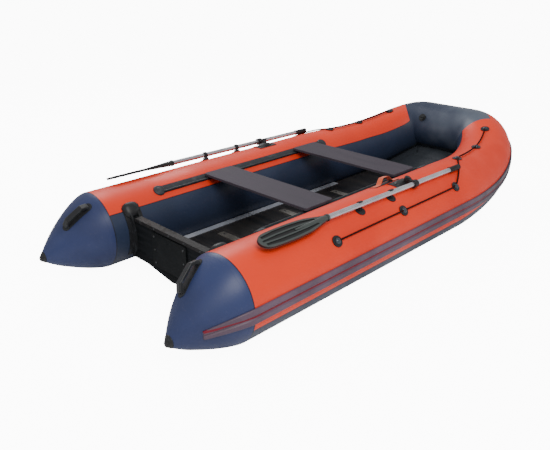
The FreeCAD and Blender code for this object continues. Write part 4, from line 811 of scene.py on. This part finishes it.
def drawn_metal(name, bright, dull, roughness, drawn, metallic):
    """Extruded aluminium with fine draw lines along its length."""
    material, tree, shader = new_material(name, bright, roughness, metallic=metallic)
    place = place_of(tree)[0]
    stretch = tree.nodes.new("ShaderNodeMapping")
    stretch.inputs["Scale"].default_value = drawn
    tree.links.new(place, stretch.inputs["Vector"])
    lines = noise(tree, stretch.outputs[0], 12.0, detail=3.0)
    clouds = placed(tree, cloudy, Place=place, Scale=6.0)
    tree.links.new(mixed(tree, clouds["Cloud"], bright, dull), shader.inputs["Base Color"])
    tree.links.new(ranged(tree, lines, roughness - 0.08, roughness + 0.12, 0.3, 0.7),
                   shader.inputs["Roughness"])
    bumped(tree, shader, lines, strength=0.12, distance=0.0003)
    return material


dress(drawn_metal("joiner_aluminium", bar_beige, bar_dull, 0.42, drawn_along_y, metallic=0.85),
      "floor_joiners")
dress(drawn_metal("stringer_aluminium", stringer_blue, stringer_dull, 0.36, drawn_along_x,
                  metallic=0.35), *both("floor_stringer"))


# Bench tracks: dark blue-grey rubber extrusions with a round foot at each end, glued along
# the tubes' inner upper side. The benches' black plastic runners slide on their beads.
track_grey = (0.05, 0.058, 0.064, 1)
track_dark = (0.026, 0.03, 0.036, 1)
foot_angle = 126.0
foot_radius = 0.034
foot_height = 0.011
foot_inset = 0.008
foot_around = 40
foot_profile = ((1.0, 0.0), (0.985, 0.35), (0.93, 0.62), (0.8, 0.8),
                (0.7, 0.83), (0.64, 0.74), (0.5, 0.9), (0.25, 1.0))

track_rubber = moulded("track_rubber", track_dark, track_grey, roughness=0.45, scale=700.0)
dress(track_rubber, *both("bench_track"))


def tube_sag(across):
    """How far a tube's skin has fallen away at a distance across its top line."""
    return tube_radius - math.sqrt(tube_radius ** 2 - across ** 2)


track_low, track_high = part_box("bench_track_port")
for ending, side in (("_port", 1), ("_starboard", -1)):
    away, round_tube = tube_directions(foot_angle, side)
    feet = bmesh.new()
    for along in (track_low[0] + foot_inset, track_high[0] - foot_inset):
        root = Vector((along, side * tube_offset, tube_radius)) + away * tube_radius
        rings = []
        for share, lift in foot_profile:
            ring = []
            for step in range(foot_around):
                turn = 2 * math.pi * step / foot_around
                forward = Vector((math.cos(turn) * share * foot_radius, 0, 0))
                across = math.sin(turn) * share * foot_radius
                raised = away * (lift * foot_height - tube_sag(across))
                ring.append(feet.verts.new(root + forward + round_tube * across + raised))
            rings.append(ring)
        join_rings(feet, rings)
        feet.faces.new(rings[-1])
    bmesh.ops.recalc_face_normals(feet, faces=feet.faces)
    add_piece("track_feet" + ending, feet, track_rubber)

dress(moulded("runner_plastic", rubber_black, rubber_grey, roughness=0.4, scale=700.0),
      "aft_bench_runners", "fore_bench_runners")


# Benches: plywood boards with a smooth grey-purple paint, bevelled along their upper edges.
bench_purple = (0.064, 0.055, 0.07, 1)
bench_shade = (0.047, 0.041, 0.054, 1)

dress(painted_plywood("bench_paint", bench_shade, bench_purple, roughness=0.55, scale=5.0,
                      gloss=0.12), "aft_bench_board", "fore_bench_board")


# Oars: an anodised aluminium tube with a rubber grip, and a pressed nylon blade with raised
# rim and ribs, which are paler than the flat between them.
lock_x = 0.023
oar_angle = math.radians(68.0)
oar_stand = 0.026
oar_toe = math.radians(0.7)
oar_dip = math.radians(0.55)
blade_flat = 0.0035
blade_rib = 0.0055
blade_pale = (0.05, 0.06, 0.058, 1)
blade_worn = (0.05, 0.058, 0.057, 1)
blade_black = (0.012, 0.013, 0.014, 1)
shaft_bright = (0.72, 0.72, 0.76, 1)
shaft_dull = (0.5, 0.5, 0.55, 1)
grip_black = (0.013, 0.013, 0.014, 1)
grip_grey = (0.035, 0.035, 0.038, 1)

oar_away = Vector((0.0, math.cos(oar_angle), math.sin(oar_angle)))
oar_across = Matrix.Rotation(oar_toe, 3, oar_away) @ oar_away.cross(Vector((1.0, 0.0, 0.0)))
blade_away = Matrix.Rotation(oar_dip, 3, oar_across) @ oar_away
tube_middle = Vector((lock_x, tube_offset, tube_radius))
oar_origin = tube_middle + oar_away * (tube_radius + oar_stand)

dress(drawn_metal("shaft_aluminium", shaft_bright, shaft_dull, 0.24, drawn_along_x,
                  metallic=0.9), *both("oar_shaft"))


def vector_node(tree, operation, *values):
    """One vector node; each value is a constant vector or another node's output."""
    made = tree.nodes.new("ShaderNodeVectorMath")
    made.operation = operation
    for socket, given in zip(made.inputs, values):
        if isinstance(given, Vector):
            socket.default_value = given
        else:
            tree.links.new(given, socket)
    return made.outputs["Value" if operation in ("DOT_PRODUCT", "LENGTH") else "Vector"]


def port_place(tree, x, y, z):
    """The surface's place, with the starboard side mirrored to port."""
    folded = tree.nodes.new("ShaderNodeCombineXYZ")
    for axis, part in (("X", x), ("Y", math_node(tree, "ABSOLUTE", y)), ("Z", z)):
        tree.links.new(part, folded.inputs[axis])
    return folded.outputs[0]


blade_nylon, tree, shader = new_material("blade_nylon", blade_black, 0.4)
place, x, y, z = place_of(tree)
from_lock = vector_node(tree, "SUBTRACT", port_place(tree, x, y, z), oar_origin)
over_blade = vector_node(tree, "DOT_PRODUCT", from_lock, blade_away)
from_flat = math_node(tree, "ABSOLUTE", over_blade)
lifted = ranged(tree, from_flat, 0.0, 1.0, blade_flat, blade_rib)
grain = placed(tree, pressed, Place=place, Scale=800.0)
rib_colour = mixed(tree, grain["Worn"], blade_pale, blade_worn)
tree.links.new(mixed(tree, lifted, blade_black, rib_colour), shader.inputs["Base Color"])
tree.links.new(ranged(tree, grain["Worn"], 0.34, 0.5), shader.inputs["Roughness"])
bumped(tree, shader, grain["Height"], strength=0.2, distance=0.0003)
dress(blade_nylon, *both("oar_blade"))

dress(moulded("grip_rubber", grip_black, grip_grey, roughness=0.6, scale=1200.0),
      *both("oar_grip"))


# Oarlocks, collars and clips: black moulded plastic on round or oblong glued pads, with a
# soft shine on their domes. The thick collar hangs its oar on the oarlock.
dress(moulded("lock_plastic", rubber_black, rubber_grey, roughness=0.42, scale=800.0),
      *both("oarlock_base"), *both("oar_collar"), *both("oar_clips"))


# Lifeline: a dark brown-red braided cord drawn tight through round moulded black cleats,
# with a painted blue-grey highlight on each cleat's domed middle.
cord_red = (0.045, 0.009, 0.008, 1)
cord_black = (0.014, 0.008, 0.009, 1)
cord_swell = 0.0012
cord_weld = 0.00005
strands_along = 900.0
strands_up = 1500.0
cleat_black = (0.012, 0.013, 0.015, 1)
cleat_painted_highlight = (0.035, 0.046, 0.06, 1)
highlight_radius = 0.0145
highlight_fade = 0.002
straight_cleat_angle = 40.5
straight_cleats = (-0.715, -0.175, 0.351)
bend_cleats = ((0.233, 90.0), (0.476, 90.0), (0.729, 94.0))

braided_cord, tree, shader = new_material("braided_cord", cord_red, 0.8, gloss=0.05)
place, x, y, z = place_of(tree)
strands = (math_node(tree, "MULTIPLY", x, strands_along),
           math_node(tree, "MULTIPLY", z, strands_up))
plait = math_node(tree, "MULTIPLY", *(math_node(tree, "SINE", math_node(tree, way, *strands))
                                      for way in ("ADD", "SUBTRACT")))
plait = math_node(tree, "MULTIPLY_ADD", plait, 0.5, 0.5)
tree.links.new(mixed(tree, plait, cord_black, cord_red), shader.inputs["Base Color"])
bumped(tree, shader, plait, strength=0.6, distance=0.0006)
for name in both("lifeline"):
    cord = bmesh.new()
    cord.from_mesh(nodes[name].data)
    bmesh.ops.remove_doubles(cord, verts=cord.verts, dist=cord_weld)
    bmesh.ops.recalc_face_normals(cord, faces=cord.faces)
    cord.normal_update()
    swellings = [vertex.normal * cord_swell for vertex in cord.verts]
    for vertex, swelling in zip(cord.verts, swellings):
        vertex.co += swelling
    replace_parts(add_piece("braided_" + name, cord, braided_cord), name)

cleat_plastic, tree, shader = new_material("cleat_plastic", cleat_black, 0.36, coat=0.15)
place, x, y, z = place_of(tree)
folded = port_place(tree, x, y, z)
straight_away = tube_directions(straight_cleat_angle, 1)[0]
cleat_axes = [(Vector((along, tube_offset, tube_radius)), straight_away)
              for along in straight_cleats]
for share, angle in bend_cleats:
    centre, _, out, up, _ = bend_station(share)
    turn = math.radians(angle)
    cleat_axes.append((centre, out * math.cos(turn) + up * math.sin(turn)))
off_axes = []
for centre, away in cleat_axes:
    from_centre = vector_node(tree, "SUBTRACT", folded, centre)
    square_on = vector_node(tree, "CROSS_PRODUCT", from_centre, away)
    off_axes.append(vector_node(tree, "LENGTH", square_on))
nearest = off_axes[0]
for off_axis in off_axes[1:]:
    nearest = math_node(tree, "MINIMUM", nearest, off_axis)
# Painted highlight: a disc round each cleat's axis is painted blue-grey, standing in for the shine
# on its dome.
painted_highlight_mask = ranged(tree, nearest, 1.0, 0.0, highlight_radius, highlight_radius + highlight_fade)
grain = placed(tree, pressed, Place=place, Scale=900.0)
tree.links.new(mixed(tree, painted_highlight_mask, cleat_black, cleat_painted_highlight), shader.inputs["Base Color"])
tree.links.new(ranged(tree, grain["Worn"], 0.28, 0.46), shader.inputs["Roughness"])
bumped(tree, shader, grain["Height"], strength=0.2, distance=0.0003)
dress(cleat_plastic, *both("lifeline_cleats"))


# Inflation valve: a moulded grey-black flange in the bow's inner face, under a screwed cap.
valve_grey = (0.05, 0.058, 0.066, 1)

dress(moulded("valve_plastic", rubber_black, valve_grey, roughness=0.34, scale=900.0,
              coat=0.15), "bow_valve")


# Carrying strap: orange woven webbing that stands up in a bow over a dark glued patch, with
# both ends sewn flat.
strap_orange = (0.78, 0.13, 0.04, 1)
strap_shade = (0.5, 0.06, 0.02, 1)
stitch_pale = (0.72, 0.5, 0.42, 1)
patch_dark = (0.012, 0.014, 0.018, 1)
patch_grey = (0.03, 0.034, 0.042, 1)
strap_angle = 106.0
patch_inset = 0.002
strap_low, strap_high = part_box("strap_handle")
strap_middle = (strap_low[0] + strap_high[0]) / 2
patch_half_length = (strap_high[0] - strap_low[0]) / 2 - patch_inset
patch_half_width = 0.024
patch_thickness = 0.0016
patch_rounding = 0.012
strap_inset = 0.006
strap_half_length = patch_half_length - strap_inset
strap_half_width = 0.0165
strap_thickness = 0.0022
strap_stand = 0.0012
strap_rise = 0.034
strap_sewn = 0.045
stitch_row = 0.0125
stitch_half = 0.0006
stitch_fade = 0.0011
stitch_rate = 1500.0
stitch_height = 1.5
sewn_start = patch_half_length - strap_sewn
sewn_fade = 0.002
band_steps = 80
band_cross_steps = 8
band_under = 0.0006
band_bevel = 0.0003
band_edge = 0.9
band_narrowest = 0.02
band_laid = 0.004
band_flex = 0.4
bow_steepness = 1.35
bow_roundness = 1.6

strap_away, round_tube = tube_directions(strap_angle, -1)
strap_across = -round_tube
strap_root = Vector((strap_middle, -tube_offset, tube_radius)) + strap_away * tube_radius

webbing, tree, shader = new_material("strap_webbing", strap_orange, 0.7, sheen=0.25, gloss=0.15)
place, x, y, z = place_of(tree)
across = math_node(tree, "SUBTRACT", vector_node(tree, "DOT_PRODUCT", place, strap_across),
                   strap_root.dot(strap_across))
threads = placed(tree, woven, Along=x, Across=across, Threads=cloth_threads)
off_centre = math_node(tree, "ABSOLUTE", across)
seam_gap = math_node(tree, "ABSOLUTE", math_node(tree, "SUBTRACT", off_centre, stitch_row))
in_seam = ranged(tree, seam_gap, 1.0, 0.0, stitch_half, stitch_fade)
stitch_wave = math_node(tree, "SINE", math_node(tree, "MULTIPLY", x, stitch_rate))
dashes = ranged(tree, stitch_wave, 0.0, 1.0, -0.1, 0.2)
from_middle = math_node(tree, "ABSOLUTE", math_node(tree, "SUBTRACT", x, strap_middle))
sewn = ranged(tree, from_middle, 0.0, 1.0, sewn_start, sewn_start + sewn_fade)
stitches = math_node(tree, "MULTIPLY", math_node(tree, "MULTIPLY", in_seam, dashes), sewn)
woven_colour = mixed(tree, threads["Height"], strap_shade, strap_orange)
tree.links.new(mixed(tree, stitches, woven_colour, stitch_pale), shader.inputs["Base Color"])
raised = math_node(tree, "MULTIPLY_ADD", stitches, stitch_height, threads["Height"])
bumped(tree, shader, raised, strength=0.6, distance=0.0006)


def laid_band(half_length, half_width, thickness, root, rounding=0.0, rise=0.0, sewn_length=0.0):
    """A band laid on the tube, with rounded ends, or with sewn ends and a bow between them."""
    band = bmesh.new()
    rows = []
    for step in range(band_steps + 1):
        along = -half_length + 2 * half_length * step / band_steps
        free = max(0.0, 1 - abs(along) / (half_length - sewn_length)) if rise else 0.0
        lift = rise * math.sin(math.pi / 2 * min(1.0, free * bow_steepness)) ** bow_roundness
        short = max(0.0, abs(along) - (half_length - rounding)) / rounding if rounding else 0.0
        width = half_width * math.sqrt(max(band_narrowest, 1 - short ** 4))
        sagging = 1 if lift < band_laid else band_flex
        row = []
        for facing in (1, -1):
            for cross_step in range(band_cross_steps + 1):
                share = (2 * cross_step / band_cross_steps - 1) * facing
                bevel = band_bevel if abs(share) > band_edge else 0.0
                level = band_under if facing == 1 else thickness - bevel
                height = lift - tube_sag(share * width) * sagging + level
                row.append(band.verts.new(root + Vector((along, 0, 0))
                                          + strap_across * (share * width) + strap_away * height))
        rows.append(row)
    join_rings(band, rows)
    band.faces.new(rows[0])
    band.faces.new(rows[-1])
    bmesh.ops.recalc_face_normals(band, faces=band.faces)
    return band


patch_cloth = moulded("strap_patch_cloth", patch_dark, patch_grey, roughness=0.5, scale=600.0)
patch = laid_band(patch_half_length, patch_half_width, patch_thickness, strap_root,
                  rounding=patch_rounding)
strap = laid_band(strap_half_length, strap_half_width, strap_thickness,
                  strap_root + strap_away * strap_stand, rise=strap_rise, sewn_length=strap_sewn)
add_piece("strap_patch", patch, patch_cloth)
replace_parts(add_piece("strap_bow", strap, webbing), "strap_handle")
